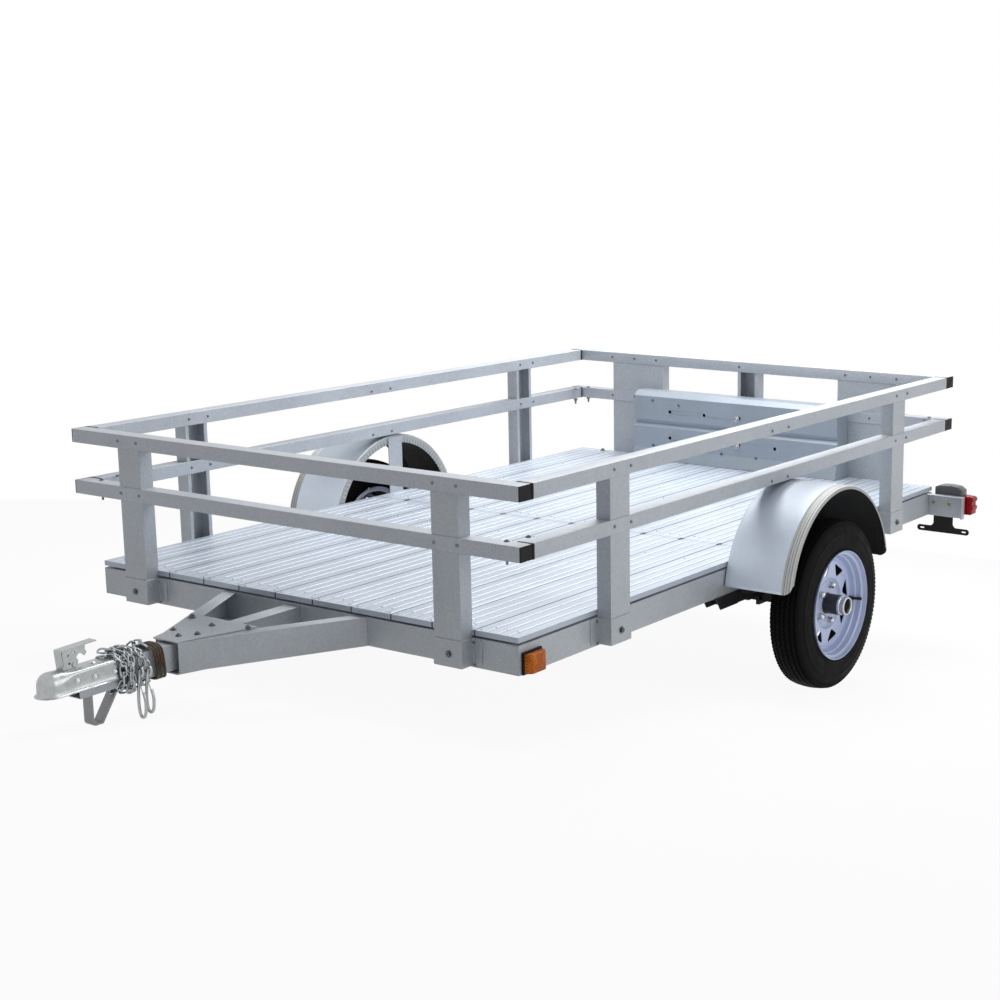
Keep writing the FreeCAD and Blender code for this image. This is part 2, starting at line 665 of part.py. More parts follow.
def make_tail_panel():
    back = f"(rail_depth - {BED_LENGTH})"
    front = f"({back} + pan_depth)"
    low = f"({DECK_TOP} + bead_height)"
    bend = f"({low} + pan_toe_height)"
    waist = f"({low} + pan_lower_height)"
    brow = f"({waist} + pan_groove)"
    crest = f"({brow} + pan_face)"
    top = f"({crest} + pan_crest)"
    groove_x, groove_z = f"({front} - pan_groove_depth)", f"({waist} + {brow}) / 2"
    right, width = "(-pan_offset - pan_width / 2)", "pan_width"
    within, inside = f"{right} + pan_sheet", "pan_width - 2 * pan_sheet"
    skin = f"({front} - pan_sheet)"
    for label, outer, hollow, row in (
        ("tail_panel_lower",
         ((back, low), (f"{front} + pan_toe", low), (front, bend), (front, waist), (back, waist)),
         ((back, low), (f"{skin} + pan_toe", low), (skin, bend), (skin, f"{waist} - pan_sheet"),
          (back, f"{waist} - pan_sheet")),
         "lower_hole"),
        ("tail_panel_upper",
         ((back, waist), (front, waist), (groove_x, groove_z), (front, brow), (front, crest),
          (f"{front} - pan_lean", top), (back, top)),
         ((back, f"{waist} + pan_sheet"), (f"{skin} - pan_sheet", f"{waist} + pan_sheet"),
          (f"{groove_x} - pan_sheet", groove_z), (skin, brow), (skin, crest),
          (f"{skin} - pan_lean", f"{top} - pan_sheet"), (back, f"{top} - pan_sheet")),
         "upper_hole"),
    ):
        body = prism(label.title().replace("_", ""), "XZ", right, width, outer)
        pocket(body, "XZ", within, inside, hollow)
        holes = [
            (f"{index} * hole_pitch - hole_first", f"{low} + {row}", "hole_radius")
            for index in range(int(size("hole_count")))
        ]
        pocket(body, "YZ", f"{skin} - pan_sheet", "3 * pan_sheet", *holes)
        sub_part(label, body)


# running gear

def make_axle():
    body = new_body("Axle")
    half = "axle_size / 2"
    pad(body, "XZ", f"-{AXLE_END}", f"2 * {AXLE_END}", block(f"-{half}", f"-{half}", half, half))
    stub_end = f"(wheel_y + {DISC_OUT} + hub_out - spindle_gap)"
    pad(body, "XZ", f"-{stub_end}", f"2 * {stub_end}", ("0", "0", "spindle_radius"))
    place(body, "wheel_x", "0", "tyre_radius")
    sub_part("axle", body)


def make_springs():
    inner, outer = f"({SPRING_Y} - spring_width / 2)", f"({SPRING_Y} + spring_width / 2)"
    spring = new_body("Spring")
    pad(spring, "XZ", inner, "spring_width", (
        ("-spring_half", SHORT_LEAF_TOP), ("-short_leaf_half", SHORT_LEAF_TOP),
        ("-short_leaf_half", "axle_size / 2"), ("short_leaf_half", "axle_size / 2"),
        ("short_leaf_half", SHORT_LEAF_TOP), ("spring_half", SHORT_LEAF_TOP),
        ("spring_half", MAIN_LEAF_TOP), ("-spring_half", MAIN_LEAF_TOP),
    ))
    for side in ("-1", "1"):
        pad(spring, "XZ", inner, "spring_width", (f"{side} * spring_half", EYE_RISE, "eye_radius"))
    place(spring, "wheel_x", "0", "tyre_radius")
    both_sides("leaf_springs", spring)

    hangers = []
    for side in ("1", "-1"):
        centre = f"wheel_x + {side} * spring_half"
        rear, front = f"{centre} - hanger_length / 2", f"{centre} + hanger_length / 2"
        low = f"(tyre_radius + {SHORT_LEAF_TOP})"
        cheek = (
            (rear, BEAM_BOTTOM), (f"{rear} + hanger_taper", low),
            (f"{front} - hanger_taper", low), (front, BEAM_BOTTOM),
        )
        hanger = new_body("Hanger")
        pad(hanger, "XZ", f"{inner} - hanger_sheet", "hanger_sheet", cheek)
        pad(hanger, "XZ", outer, "hanger_sheet", cheek)
        pad(hanger, "XZ", inner, "spring_width", block(
            rear, f"{BEAM_BOTTOM} - hanger_sheet", front, BEAM_BOTTOM))
        hangers.append(hanger)
    both_sides("spring_hangers", *hangers)

    clamp = new_body("Clamp")
    half, rod = "(axle_size / 2)", "(axle_size / 2 + clamp_rod)"
    plate_top = f"({MAIN_LEAF_TOP} + clamp_plate)"
    rod_top = f"({plate_top} + clamp_end)"
    for low_y in (f"{inner} - clamp_rod", outer):
        pad(clamp, "XZ", low_y, "clamp_rod", (
            (f"-{rod}", f"-{rod}"), (rod, f"-{rod}"), (rod, rod_top), (half, rod_top),
            (half, f"-{half}"), (f"-{half}", f"-{half}"), (f"-{half}", rod_top), (f"-{rod}", rod_top),
        ))
    pad(clamp, "XZ", f"{inner} - clamp_rod - clamp_edge", "spring_width + 2 * (clamp_rod + clamp_edge)",
        block(f"-{rod} - clamp_edge", MAIN_LEAF_TOP, f"{rod} + clamp_edge", plate_top))
    place(clamp, "wheel_x", "0", "tyre_radius")
    both_sides("axle_clamps", clamp)


def make_wheels():
    tyre = new_body("Tyre")
    side, tread = "tyre_width / 2", "tread_width / 2"
    shoulder = "tyre_radius - tyre_shoulder"
    revolve(tyre, "Revolution", (
        (f"-{side}", "rim_seat"), (side, "rim_seat"), (side, shoulder),
        (tread, "tyre_radius"), (f"-{tread}", "tyre_radius"), (f"-{side}", shoulder),
    ))

    rim = new_body("Rim")
    lip = f"({side} + rim_lip)"
    well, crown = "(rim_seat - rim_sheet)", "(rim_seat + rim_flange)"
    revolve(rim, "Revolution", (
        (f"-{lip}", well), (lip, well), (lip, crown), (side, crown), (side, "rim_seat"),
        (f"-{side}", "rim_seat"), (f"-{side}", crown), (f"-{lip}", crown),
    ))
    pad(rim, "XZ", DISC_IN, "disc_sheet", ("0", "0", well), ("0", "0", "(hub_radius + hub_clearance)"))
    tip, base = "window_tip", "window_base"
    window = pocket(rim, "XZ", DISC_IN, "disc_sheet", (
        ("-window_corner / 2", tip), ("window_corner / 2", tip),
        ("window_half", f"{base} - window_corner"), ("window_half - window_corner", base),
        ("window_corner - window_half", base), ("-window_half", f"{base} - window_corner"),
    ))
    polar(rim, window, "window_count")

    hub = new_body("Hub")
    barrel_end = f"({DISC_OUT} + hub_out)"
    bore, bore_end = "spindle_radius + hub_clearance", f"{barrel_end} - spindle_gap"
    revolve(hub, "Revolution", (
        (HUB_END, bore), (bore_end, bore), (bore_end, "0"), (f"{barrel_end} + cap_length", "0"),
        (f"{barrel_end} + cap_length", "cap_radius"), (barrel_end, "cap_radius"),
        (barrel_end, "hub_radius"), (DISC_IN, "hub_radius"), (DISC_IN, "hub_flange_radius"),
        (HUB_FLANGE_IN, "hub_flange_radius"), (HUB_FLANGE_IN, "hub_radius"), (HUB_END, "hub_radius"),
    ))
    for label, body in (("tyre", tyre), ("rim", rim), ("hub", hub)):
        place(turn(body, (0, 1, 0), "wheel_turn"), "wheel_x", "wheel_y", "tyre_radius")
        left_and_right(label, body)


def make_fenders():
    fender = new_body("Fender")
    under, width = f"({FENDER_RADIUS} - fender_sheet)", "fender_width"
    revolve(fender, "Revolution", (
        ("0", f"{FENDER_RADIUS} - fender_flange"), ("fender_sheet", f"{FENDER_RADIUS} - fender_flange"),
        ("fender_sheet", under), (f"{width} - fender_sheet", under),
        (f"{width} - fender_sheet", f"{FENDER_RADIUS} - fender_lip"),
        (width, f"{FENDER_RADIUS} - fender_lip"),
        (width, FENDER_RADIUS), ("0", FENDER_RADIUS),
    ), angle="fender_angle")
    low = f"(({FENDER_RADIUS} - fender_lip) * cos(fender_angle / 2))"
    rise = f"({low} + fender_corner)"
    pocket(fender, "YZ", f"-{FENDER_RADIUS}", f"2 * {FENDER_RADIUS}", (
        (f"{width} + fender_sheet", low), (f"{width} + fender_sheet", rise),
        (width, rise), (f"{width} - fender_corner", low, "-fender_corner"),
    ))
    place(fender, "wheel_x", f"{HALF_DECK} + bracket_sheet", FENDER_CENTRE)
    left_and_right("fender", fender)
    half = "bracket_width / 2"
    strip = prism("FenderBracket", "XZ", HALF_DECK, "bracket_sheet", block(
        f"wheel_x - {half}", f"{BEAM_TOP} - beam_height / 2",
        f"wheel_x + {half}", f"{FENDER_CENTRE} + {FENDER_RADIUS} - bracket_short"))
    both_sides("fender_brackets", strip)


# tongue

def make_tongue():
    end = "(ball_x - tongue_short)"
    tube = prism("Tongue", "YZ", f"-{INSET}", f"{end} + {INSET}",
                 *tube_loops(f"-{HALF_TONGUE}", TONGUE_BOTTOM, HALF_TONGUE, TONGUE_TOP, "tongue_wall"))
    sub_part("tongue_tube", tube)
    run_x = f"(arm_tip_x + {INSET})"
    run_y = "(arm_root_y - arm_tip_y)"
    length = f"(sqrt({run_x} ^ 2 + {run_y} ^ 2) + beam_flange)"
    arm = prism("Arm", "YZ", f"-{length}", length, channel(
        "-1", "0", "-beam_flange", BEAM_BOTTOM, BEAM_TOP, "beam_sheet"))
    place(turn(arm, (0, 0, 1), f"-atan({run_y} / {run_x})"), "arm_tip_x", "arm_tip_y", "0")
    behind = prism("BehindBeam", "XY", "0", f"{BEAM_TOP} + beam_height", block(
        f"-{INSET} - 4 * beam_flange", "0", f"-{INSET}", "2 * arm_root_y"))
    both_sides("tongue_arms", cut("MitredArm", arm, behind))
    wide = f"(arm_tip_y + (arm_tip_x - gusset_rear) * {run_y} / {run_x} - gusset_margin)"
    plates = [
        prism("Gusset", "XY", low, "gusset_sheet", (
            ("gusset_front", "-arm_tip_y"), ("gusset_front", "arm_tip_y"),
            ("gusset_rear", wide), ("gusset_rear", f"-{wide}"),
        ))
        for low in (BEAM_TOP, f"{BEAM_BOTTOM} - gusset_sheet")
    ]
    sub_part("gusset_plates", *plates)


# coupler lever, from the ball centre's line and the coupler's top, each
# point over the last: behind the ball, above the top
LATCH = (
    (76, 0), (76, 21), (71, 29), (76, 38), (88, 37), (94, 27), (102, 35), (98, 43),
    (134, 53), (134, 57), (27, 54), (32, 0),
)


def make_coupler():
    body = new_body("Coupler")
    half = f"({HALF_TONGUE} + coupler_wall)"
    nose = "(ball_radius + nose_wall)"
    top = "(ball_drop + coupler_wall)"
    pad(body, "YZ", "-coupler_length", "coupler_length", block(f"-{half}", "-coupler_skirt", half, top))
    revolve(body, "Revolution", (
        ("0", "-coupler_skirt"), (nose, "-coupler_skirt"), (nose, "dome_shoulder_height"),
        ("dome_top_radius", nose), ("0", nose),
    ), axis="V_Axis")
    side, tip = f"({half} + lip_reach)", f"({nose} + lip_reach)"
    pad(body, "XY", "-coupler_skirt", "lip_sheet", (
        ("-lip_length", f"-{side}"), ("0", f"-{tip}"), (tip, "0", tip), ("0", tip, tip),
        ("-lip_length", side),
    ))
    pocket(body, "YZ", "-coupler_length", f"coupler_length - {nose}", block(
        f"-{HALF_TONGUE}", "-coupler_skirt", HALF_TONGUE, "ball_drop"))
    pocket(body, "XY", "-coupler_skirt", "coupler_skirt + socket_roof", ("0", "0", "ball_radius"))
    place(body, "ball_x", "0", f"{TONGUE_TOP} - ball_drop")
    sub_part("coupler", body)

    outline = tuple((f"-{behind}", f"{top} + {above}") for behind, above in LATCH)
    lever = prism("Latch", "XZ", "-latch_width / 2", "latch_width", outline)
    under = tuple((behind, f"{above} - latch_sheet") for behind, above in outline)
    pocket(lever, "XZ", "latch_sheet - latch_width / 2", "latch_width - 2 * latch_sheet", under)
    place(lever, "ball_x", "0", f"{TONGUE_TOP} - ball_drop")
    sub_part("coupler_latch", lever)


def make_stand():
    """A strap bent to a V under the tongue, with a rounded foot."""
    foot = f"({TONGUE_BOTTOM} - stand_drop)"
    inner = "(stand_foot - stand_strap)"
    strap = prism("Stand", "XZ", "-stand_width / 2", "stand_width", (
        ("stand_front", TONGUE_BOTTOM), ("stand_front - stand_strap", TONGUE_BOTTOM),
        ("stand_front - stand_strap", f"{foot} + stand_foot"),
        ("stand_front - stand_foot", f"{foot} + stand_strap", f"-{inner}"),
        ("stand_front - stand_flat", f"{foot} + stand_strap"), (f"{STAND_REAR} + stand_strap", TONGUE_BOTTOM),
        (f"{STAND_REAR} - stand_strap / 3", TONGUE_BOTTOM),
        ("stand_front - stand_flat - stand_strap / 2", foot),
        ("stand_front - stand_foot", foot), ("stand_front", f"{foot} + stand_foot", "stand_foot"),
    ))
    sub_part("tongue_stand", strap)


def make_coil():
    """The outer shape of the wiring wound on the tongue, and its plug."""
    side = f"({HALF_TONGUE} + coil_thick)"
    low, high = f"({TONGUE_BOTTOM} - coil_thick)", f"({TONGUE_TOP} + coil_thick)"
    corner = "coil_corner"
    coil = prism("Coil", "YZ", "coil_x - coil_length / 2", "coil_length", (
        (f"{side} - {corner}", low), (side, f"{low} + {corner}", corner),
        (side, f"{high} - {corner}"), (f"{side} - {corner}", high, corner),
        (f"{corner} - {side}", high), (f"-{side}", f"{high} - {corner}", corner),
        (f"-{side}", f"{low} + {corner}"), (f"{corner} - {side}", low, corner),
    ), block(f"-{HALF_TONGUE}", TONGUE_BOTTOM, HALF_TONGUE, TONGUE_TOP))
    sub_part("wiring_coil", coil)
    middle = f"({TONGUE_TOP} + {TONGUE_BOTTOM}) / 2"
    plug = prism("Plug", "XZ", f"-{side} - plug_thick", "plug_thick", block(
        "coil_x - plug_width / 2", f"{middle} - plug_height / 2",
        "coil_x + plug_width / 2", f"{middle} + plug_height / 2"))
    sub_part("wiring_plug", plug)


# safety hook below its eye, from the eye's middle: down, out
HOOK = (
    (17, -4), (66, -4), (80, 2), (86, 12), (80, 22), (66, 26),
    (57, 24), (58, 18), (66, 19), (73, 15), (75, 10), (71, 5), (62, 3), (17, 3),
)


def make_chains():
    """Two chains wound on the tongue, each ending in a hook on the left. The
    links lie on a circle that clears the tube's corners, and turn a quarter
    from one to the next."""
    half, hole = "(link_length / 2)", "(link_length / 2 - chain_wire)"
    wide, gap = "(link_width / 2)", "(link_width / 2 - chain_wire)"
    eye = (
        (f"-{half}", f"{gap}"), (f"-{half}", f"-{gap}"), (f"link_corner - {half}", f"-{wide}"),
        (f"{half} - link_corner", f"-{wide}"), (half, f"-{gap}"), (half, f"{gap}"),
        (f"{half} - link_corner", wide), (f"link_corner - {half}", wide),
    )
    inside = block(f"-{hole}", f"-{gap}", hole, gap)
    radius = f"(sqrt(tongue_width ^ 2 + tongue_height ^ 2) / 2 + {wide})"
    step = f"(2 * atan({hole} / ({radius} + chain_wire / 2)))"
    middle = f"(({TONGUE_TOP} + {TONGUE_BOTTOM}) / 2)"
    # one link on edge to the tube, one flat against it
    on_edge = prism("EdgeLink", "YZ", "-chain_wire / 2", "chain_wire", *flipped(eye, inside))
    flat = prism("FlatLink", "XZ", "-chain_wire / 2", "chain_wire", *flipped(eye, inside))
    hook = prism("Hook", "YZ", "-chain_wire / 2", "chain_wire", *flipped(eye, inside))
    pad(hook, "YZ", "-chain_wire / 2", "chain_wire", [(str(out), f"-{down}") for down, out in HOOK])
    pieces = []
    for chain in ("0", "1"):
        for index in range(int(size("chain_links")) + 1):
            source = hook if index == 0 else flat if index % 2 else on_edge
            angle = f"({index} * {step})"
            link = copy(
                source, f"hook_x + {chain} * hook_pitch - {index} * chain_advance",
                f"{radius} * cos({angle})", f"{middle} + {radius} * sin({angle})")
            pieces.append(turn(link, (1, 0, 0), angle))
    sub_part("safety_chains", *pieces)


# lamps

def make_lamps():
    low, length = f"{BEAM_BOTTOM}", "marker_length / 2"
    base = prism("MarkerBase", "XZ", HALF_DECK, "marker_base", block(
        f"marker_x - {length}", low, f"marker_x + {length}", f"{low} + marker_height"))
    face = f"({HALF_DECK} + marker_base)"
    foot, crown = f"({length} - marker_edge)", f"({length} - marker_edge - marker_slope)"
    lens = prism("MarkerLens", "XY", f"{low} + marker_edge", "marker_height - 2 * marker_edge", (
        (f"marker_x - {foot}", face), (f"marker_x + {foot}", face),
        (f"marker_x + {foot}", f"{face} + marker_lens / 2"), (f"marker_x + {crown}", f"{face} + marker_lens"),
        (f"marker_x - {crown}", f"{face} + marker_lens"), (f"marker_x - {foot}", f"{face} + marker_lens / 2"),
    ))
    both_sides("side_marker_bases", base)
    both_sides("side_marker_lenses", lens)

    face_x = f"({REAR_SEAT} + tail_inset)"
    back_x = f"({face_x} - beam_sheet)"
    outer = f"({HALF_DECK} + tail_arm)"
    bracket = new_body("TailBracket")
    pad(bracket, "YZ", back_x, "beam_sheet", block(HALF_DECK, BEAM_BOTTOM, outer, BEAM_TOP))
    pad(bracket, "XZ", HALF_DECK, "tail_arm", block(
        back_x, f"{BEAM_TOP} - beam_sheet", f"{face_x} + tail_fold", BEAM_TOP))
    pad(bracket, "XZ", f"{outer} - beam_sheet", "beam_sheet", block(
        back_x, BEAM_BOTTOM, f"{face_x} + tail_fold", BEAM_TOP))
    left_and_lower_right("tail_brackets", bracket)

    inner, lamp_end = f"({HALF_DECK} + lamp_start)", f"({HALF_DECK} + lamp_start + lamp_width)"
    lamp_low = f"({BEAM_BOTTOM} + lamp_rise)"
    lamp_top = f"({lamp_low} + lamp_height)"
    housing = prism("Housing", "XZ", inner, "lamp_width", (
        (f"{back_x} - lamp_depth", lamp_low), (back_x, lamp_low), (back_x, f"{lamp_top} - lamp_slope"),
        (f"{back_x} - lamp_slope", lamp_top), (f"{back_x} - lamp_depth", lamp_top),
    ))
    left_and_lower_right("tail_lamps", housing)
    lens_back, lens_side = f"{back_x} - lamp_depth - lens_depth", f"{lamp_end} + lens_depth"
    lens = prism("TailLens", "XY", lamp_low, "lamp_height - lamp_slope", (
        (lens_back, inner), (f"{back_x} - lamp_depth", inner), (f"{back_x} - lamp_depth", lamp_end),
        (f"{back_x} - lamp_slope", lamp_end), (f"{back_x} - lamp_slope", f"{lens_side} - lens_depth / 2"),
        (f"{back_x} - lamp_depth / 2", lens_side), (lens_back, lens_side),
    ))
    left_and_lower_right("tail_lenses", lens)

    middle = f"({HALF_DECK} + plate_middle)"
    neck, bar = "plate_neck / 2", "plate_bar / 2"
    end = "plate_depth / 2"
    low = f"({BEAM_BOTTOM} - plate_drop)"
    high = f"({low} + plate_depth)"
    plate = new_body("PlateBracket")
    pad(plate, "YZ", face_x, "plate_sheet", (
        (f"{middle} + {bar} - {end}", low), (f"{middle} + {bar}", f"{low} + {end}", end),
        (f"{middle} + {bar} - {end}", high, end),
        (f"{middle} + {neck} + plate_flare", high), (f"{middle} + {neck}", f"{high} + plate_flare"),
        (f"{middle} + {neck}", f"{BEAM_BOTTOM} + plate_flare"),
        (f"{middle} - {neck}", f"{BEAM_BOTTOM} + plate_flare"),
        (f"{middle} - {neck}", f"{high} + plate_flare"), (f"{middle} - {neck} - plate_flare", high),
        (f"{middle} - {bar} + {end}", high), (f"{middle} - {bar}", f"{low} + {end}", end),
        (f"{middle} - {bar} + {end}", low, end),
    ))
    slots = []
    for side in ("-1", "1"):
        tip = f"{middle} + {side} * ({bar} - slot_end)"
        root = f"{tip} - {side} * slot_length"
        first, last = (tip, root) if side == "-1" else (root, tip)
        level, round_end = f"({low} + {end})", "(slot_width / 2)"
        slots.append((
            (last, f"{level} - {round_end}"), (f"{last} + {round_end}", level, round_end),
            (last, f"{level} + {round_end}", round_end), (first, f"{level} + {round_end}"),
            (f"{first} - {round_end}", level, round_end), (first, f"{level} - {round_end}", round_end),
        ))
    pocket(plate, "YZ", face_x, "plate_sheet", *slots)
    sub_part("plate_bracket", plate)


def stand_on_ground():
    """Tips the level trailer about its axle until the foot of its stand is
    down, with its origin under the middle of its length."""
    bend = size("stand_foot")
    foot = Vector(size("stand_front - stand_foot"), 0, size(f"{TONGUE_BOTTOM} - stand_drop + stand_foot"))
    axle = Vector(size("wheel_x"), 0, size("tyre_radius"))
    reach = foot - axle
    fall = math.atan2(reach.z, reach.x) + math.asin((axle.z - bend) / reach.Length)
    tip = Rotation(Vector(0, 1, 0), math.degrees(fall))
    turned = tip.multVec(axle)
    stance = Placement(Vector(0, 0, axle.z - turned.z), tip)
    whole = Part.makeCompound([part.Shape for part in sub_parts])
    whole.Placement = stance
    box = whole.optimalBoundingBox(False, False)
    stance.Base.x -= (box.XMin + box.XMax) / 2
    for part in sub_parts:
        part.Placement = stance
    doc.recompute()
    origin = f"{stance.Base.x:.4f} 0 {stance.Base.z:.4f}"
    print(f"tipped {math.degrees(fall):.6f} degrees, level origin {origin}, box {box}")


def check_and_write():
    for thing in doc.Objects:
        if {"Invalid", "Error"} & set(thing.State):
            raise RuntimeError(f"{thing.Label} has failed: {thing.State}")
    os.makedirs("parts", exist_ok=True)
    for part in sub_parts:
        if part.Shape.isNull() or not part.Shape.isValid():
            raise RuntimeError(f"{part.Label} has no valid shape")
        part.Shape.exportStep(f"parts/{part.Label}.step")


make_beams()
make_deck()
make_rails()
make_posts()
make_pockets()
make_tail_panel()
make_axle()
make_springs()
make_wheels()
make_fenders()
make_tongue()
make_coupler()
make_stand()
make_coil()
make_chains()
make_lamps()
doc.recompute()
stand_on_ground()
check_and_write()
print(len(sub_parts), "sub-parts")
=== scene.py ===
import json
import math
import bmesh
import bpy
from mathutils import Matrix, Vector


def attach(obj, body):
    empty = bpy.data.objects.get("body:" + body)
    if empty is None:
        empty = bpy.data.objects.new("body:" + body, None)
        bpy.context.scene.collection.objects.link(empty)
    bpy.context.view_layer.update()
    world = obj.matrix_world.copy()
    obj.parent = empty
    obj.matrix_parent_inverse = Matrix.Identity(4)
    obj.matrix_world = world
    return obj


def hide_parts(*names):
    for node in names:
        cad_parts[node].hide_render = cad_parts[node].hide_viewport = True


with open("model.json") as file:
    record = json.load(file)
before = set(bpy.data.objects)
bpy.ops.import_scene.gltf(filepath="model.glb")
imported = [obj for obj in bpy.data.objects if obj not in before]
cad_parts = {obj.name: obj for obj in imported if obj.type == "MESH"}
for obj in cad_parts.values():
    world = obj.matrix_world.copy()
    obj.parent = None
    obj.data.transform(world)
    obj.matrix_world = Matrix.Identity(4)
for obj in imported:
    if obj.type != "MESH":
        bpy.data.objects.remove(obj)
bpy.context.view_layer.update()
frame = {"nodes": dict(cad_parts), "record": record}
nodes = frame["nodes"]
mounts = {mount["name"]: mount for mount in frame["record"]["mounts"]}

# The trailer parks nose-down. Pieces are made as if it stood level, with x
# forward from the bed's front face, y to the left and z up, and then tipped.
deck = mounts["load_deck"]
tip = math.atan2(deck["axis"][0], deck["axis"][2])
turnDown = Matrix.Rotation(tip, 4, "Y")
levelDeck = Vector((-0.7, 0, 0.4325))
toStance = Matrix.Translation(Vector(deck["pos_m"]) - turnDown @ levelDeck) @ turnDown

level = {"halfBed": 0.8345, "halfDeck": 0.7865, "deckTop": 0.431, "tongueBottom": 0.335}


# camera

def addObject(name, data):
    made = bpy.data.objects.new(name, data)
    bpy.context.scene.collection.objects.link(made)
    return made


camera = addObject("camera", bpy.data.cameras.new("camera"))
bpy.context.scene.camera = camera
camera.data.lens = 64.01
camera.data.shift_x = -0.1639
camera.data.shift_y = 0.0261
camera.matrix_world = toStance @ Matrix((
    (-0.5507, -0.1752, 0.8161, 3.366),
    (0.8347, -0.1146, 0.5386, 3.480),
    (-0.0008, 0.9778, 0.2094, 1.648),
    (0, 0, 0, 1),
))


# making and placing pieces

def finishPiece(name, mesh, materials, body="chassis", slot=None, replaces=(), smoothAngle=35, bevel=0.0):
    made = keep(mesh, name) if isinstance(mesh, bmesh.types.BMesh) else mesh
    made.transform(toStance)
    piece = addObject(name, made)
    for material in materials:
        made.materials.append(material)
    made.shade_smooth()
    made.set_sharp_from_angle(angle=math.radians(smoothAngle))
    if bevel:
        softenEdges(piece, bevel)
    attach(piece, body)
    if replaces:
        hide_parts(*replaces)
    return piece


def keep(bm, name):
    mesh = bpy.data.meshes.new(name)
    bm.to_mesh(mesh)
    bm.free()
    return mesh


def softenEdges(piece, width):
    modifier = piece.modifiers.new("softEdges", "BEVEL")
    modifier.width = width
    modifier.segments = 2
    modifier.limit_method = "ANGLE"
    modifier.angle_limit = math.radians(30)
    modifier.harden_normals = True


def giveThickness(piece, thickness):
    sheet = piece.modifiers.new("sheet", "SOLIDIFY")
    sheet.thickness = thickness
    sheet.offset = -1
    return sheet


def mm(*points):
    # points written in millimetres
    return [tuple(length / 1000 for length in point) for point in points]


def box(left, low, right, high):
    return [(left, low), (right, low), (right, high), (left, high)]


def vertsOf(geom):
    return [item for item in geom if isinstance(item, bmesh.types.BMVert)]


def outward(bm):
    bmesh.ops.remove_doubles(bm, verts=bm.verts, dist=1e-6)
    bmesh.ops.recalc_face_normals(bm, faces=bm.faces)
    return bm


def finishFaces(bm, before, material=0):
    # the faces made since, with their material, facing outward
    made = [face for face in bm.faces if face not in before]
    for face in made:
        face.material_index = material
    bmesh.ops.recalc_face_normals(bm, faces=made)
    return made


def ease(bm, geom, offset, segments=4, affect="VERTICES", clamp=False):
    return bmesh.ops.bevel(bm, geom=geom, offset=offset, segments=segments, profile=0.5, affect=affect,
                           material=-1, clamp_overlap=clamp)["verts"]


def pushOut(bm, faces, push):
    pushed = bmesh.ops.extrude_face_region(bm, geom=faces, use_keep_orig=True)["geom"]
    bmesh.ops.translate(bm, vec=push, verts=vertsOf(pushed))


def addLoop(bm, points):
    corners = [bm.verts.new(point) for point in points]
    for pair in zip(corners, corners[1:] + corners[:1]):
        bm.edges.new(pair)
    return corners


def fillSheet(bm, push):
    # a sheet between all the loops, given its thickness
    bmesh.ops.triangle_fill(bm, use_beauty=True, use_dissolve=False, edges=bm.edges[:])
    pushOut(bm, bm.faces[:], push)
    bmesh.ops.recalc_face_normals(bm, faces=bm.faces)


def addPlate(bm, outline, start, end, axis="z", corner=0.0):
    # a flat outline in the two other axes, its corners rounded, pushed along the axis
    index = "xyz".index(axis)
    push = [0, 0, 0]
    push[index] = end - start
    before = set(bm.faces)
    face = bm.faces.new([bm.verts.new((*point[:index], start, *point[index:])) for point in outline])
    if corner:
        ease(bm, face.verts[:], corner)
        face = [item for item in bm.faces if item not in before][0]
    pushOut(bm, [face], push)
    finishFaces(bm, before)


def addLathe(bm, profile, steps, centre=(0, 0, 0), axis="y", closed=False, material=0, start=0.0,
             sweep=math.tau):
    # a profile of (along the axis, radius) pairs, spun about the axis
    along = Vector([name == axis for name in "xyz"])
    out = Matrix.Rotation(start, 3, along) @ Vector((1, 0, 0) if axis == "z" else (0, 0, 1))
    centre = Vector(centre)
    before = set(bm.faces)
    verts = [bm.verts.new(centre + along * a + out * r) for a, r in profile]
    pairs = list(zip(verts, verts[1:])) + ([(verts[-1], verts[0])] if closed else [])
    edges = [bm.edges.new(pair) for pair in pairs]
    bmesh.ops.spin(bm, geom=verts + edges, cent=centre, axis=along, dvec=(0, 0, 0),
                   angle=sweep, steps=steps, use_merge=sweep == math.tau, use_duplicate=False)
    fresh = {vert for face in bm.faces if face not in before for vert in face.verts}
    bmesh.ops.remove_doubles(bm, verts=list(fresh), dist=1e-6)
    return finishFaces(bm, before, material)


def lathed(name, *lathes, axis="z"):
    # a small mesh of one or more (profile, steps) pairs
    bm = bmesh.new()
    for profile, steps in lathes:
        addLathe(bm, profile, steps, axis=axis)
    return keep(outward(bm), name)


def addHexagon(bm, radius, depth, middle):
    place = Matrix.Translation((0, 0, middle))
    return bmesh.ops.create_cone(bm, cap_ends=True, cap_tris=False, segments=6, radius1=radius,
                                 radius2=radius, depth=depth, matrix=place)["verts"]


def roundSection(radius, out, sides):
    # the closed section of a ring of round wire
    angles = [math.tau * side / sides for side in range(sides)]
    return [(radius * math.sin(angle), out + radius * math.cos(angle)) for angle in angles]


def facing(normal, at, spin=0.0):
    # a matrix that takes +z to the normal and the origin to a place
    turn = Vector((0, 0, 1)).rotation_difference(Vector(normal)).to_matrix().to_4x4()
    return Matrix.Translation(at) @ turn @ Matrix.Rotation(spin, 4, "Z")


def addMesh(bm, mesh, matrix=Matrix.Identity(4), material=0):
    before, facesBefore = len(bm.verts), len(bm.faces)
    bm.from_mesh(mesh)
    bm.verts.ensure_lookup_table()
    bm.faces.ensure_lookup_table()
    bmesh.ops.transform(bm, matrix=matrix, verts=bm.verts[before:])
    for face in bm.faces[facesBefore:]:
        face.material_index = material


def joined(parts):
    # copies of small meshes, each in its own place
    bm = bmesh.new()
    for mesh, matrix in parts:
        addMesh(bm, mesh, matrix)
    return bm


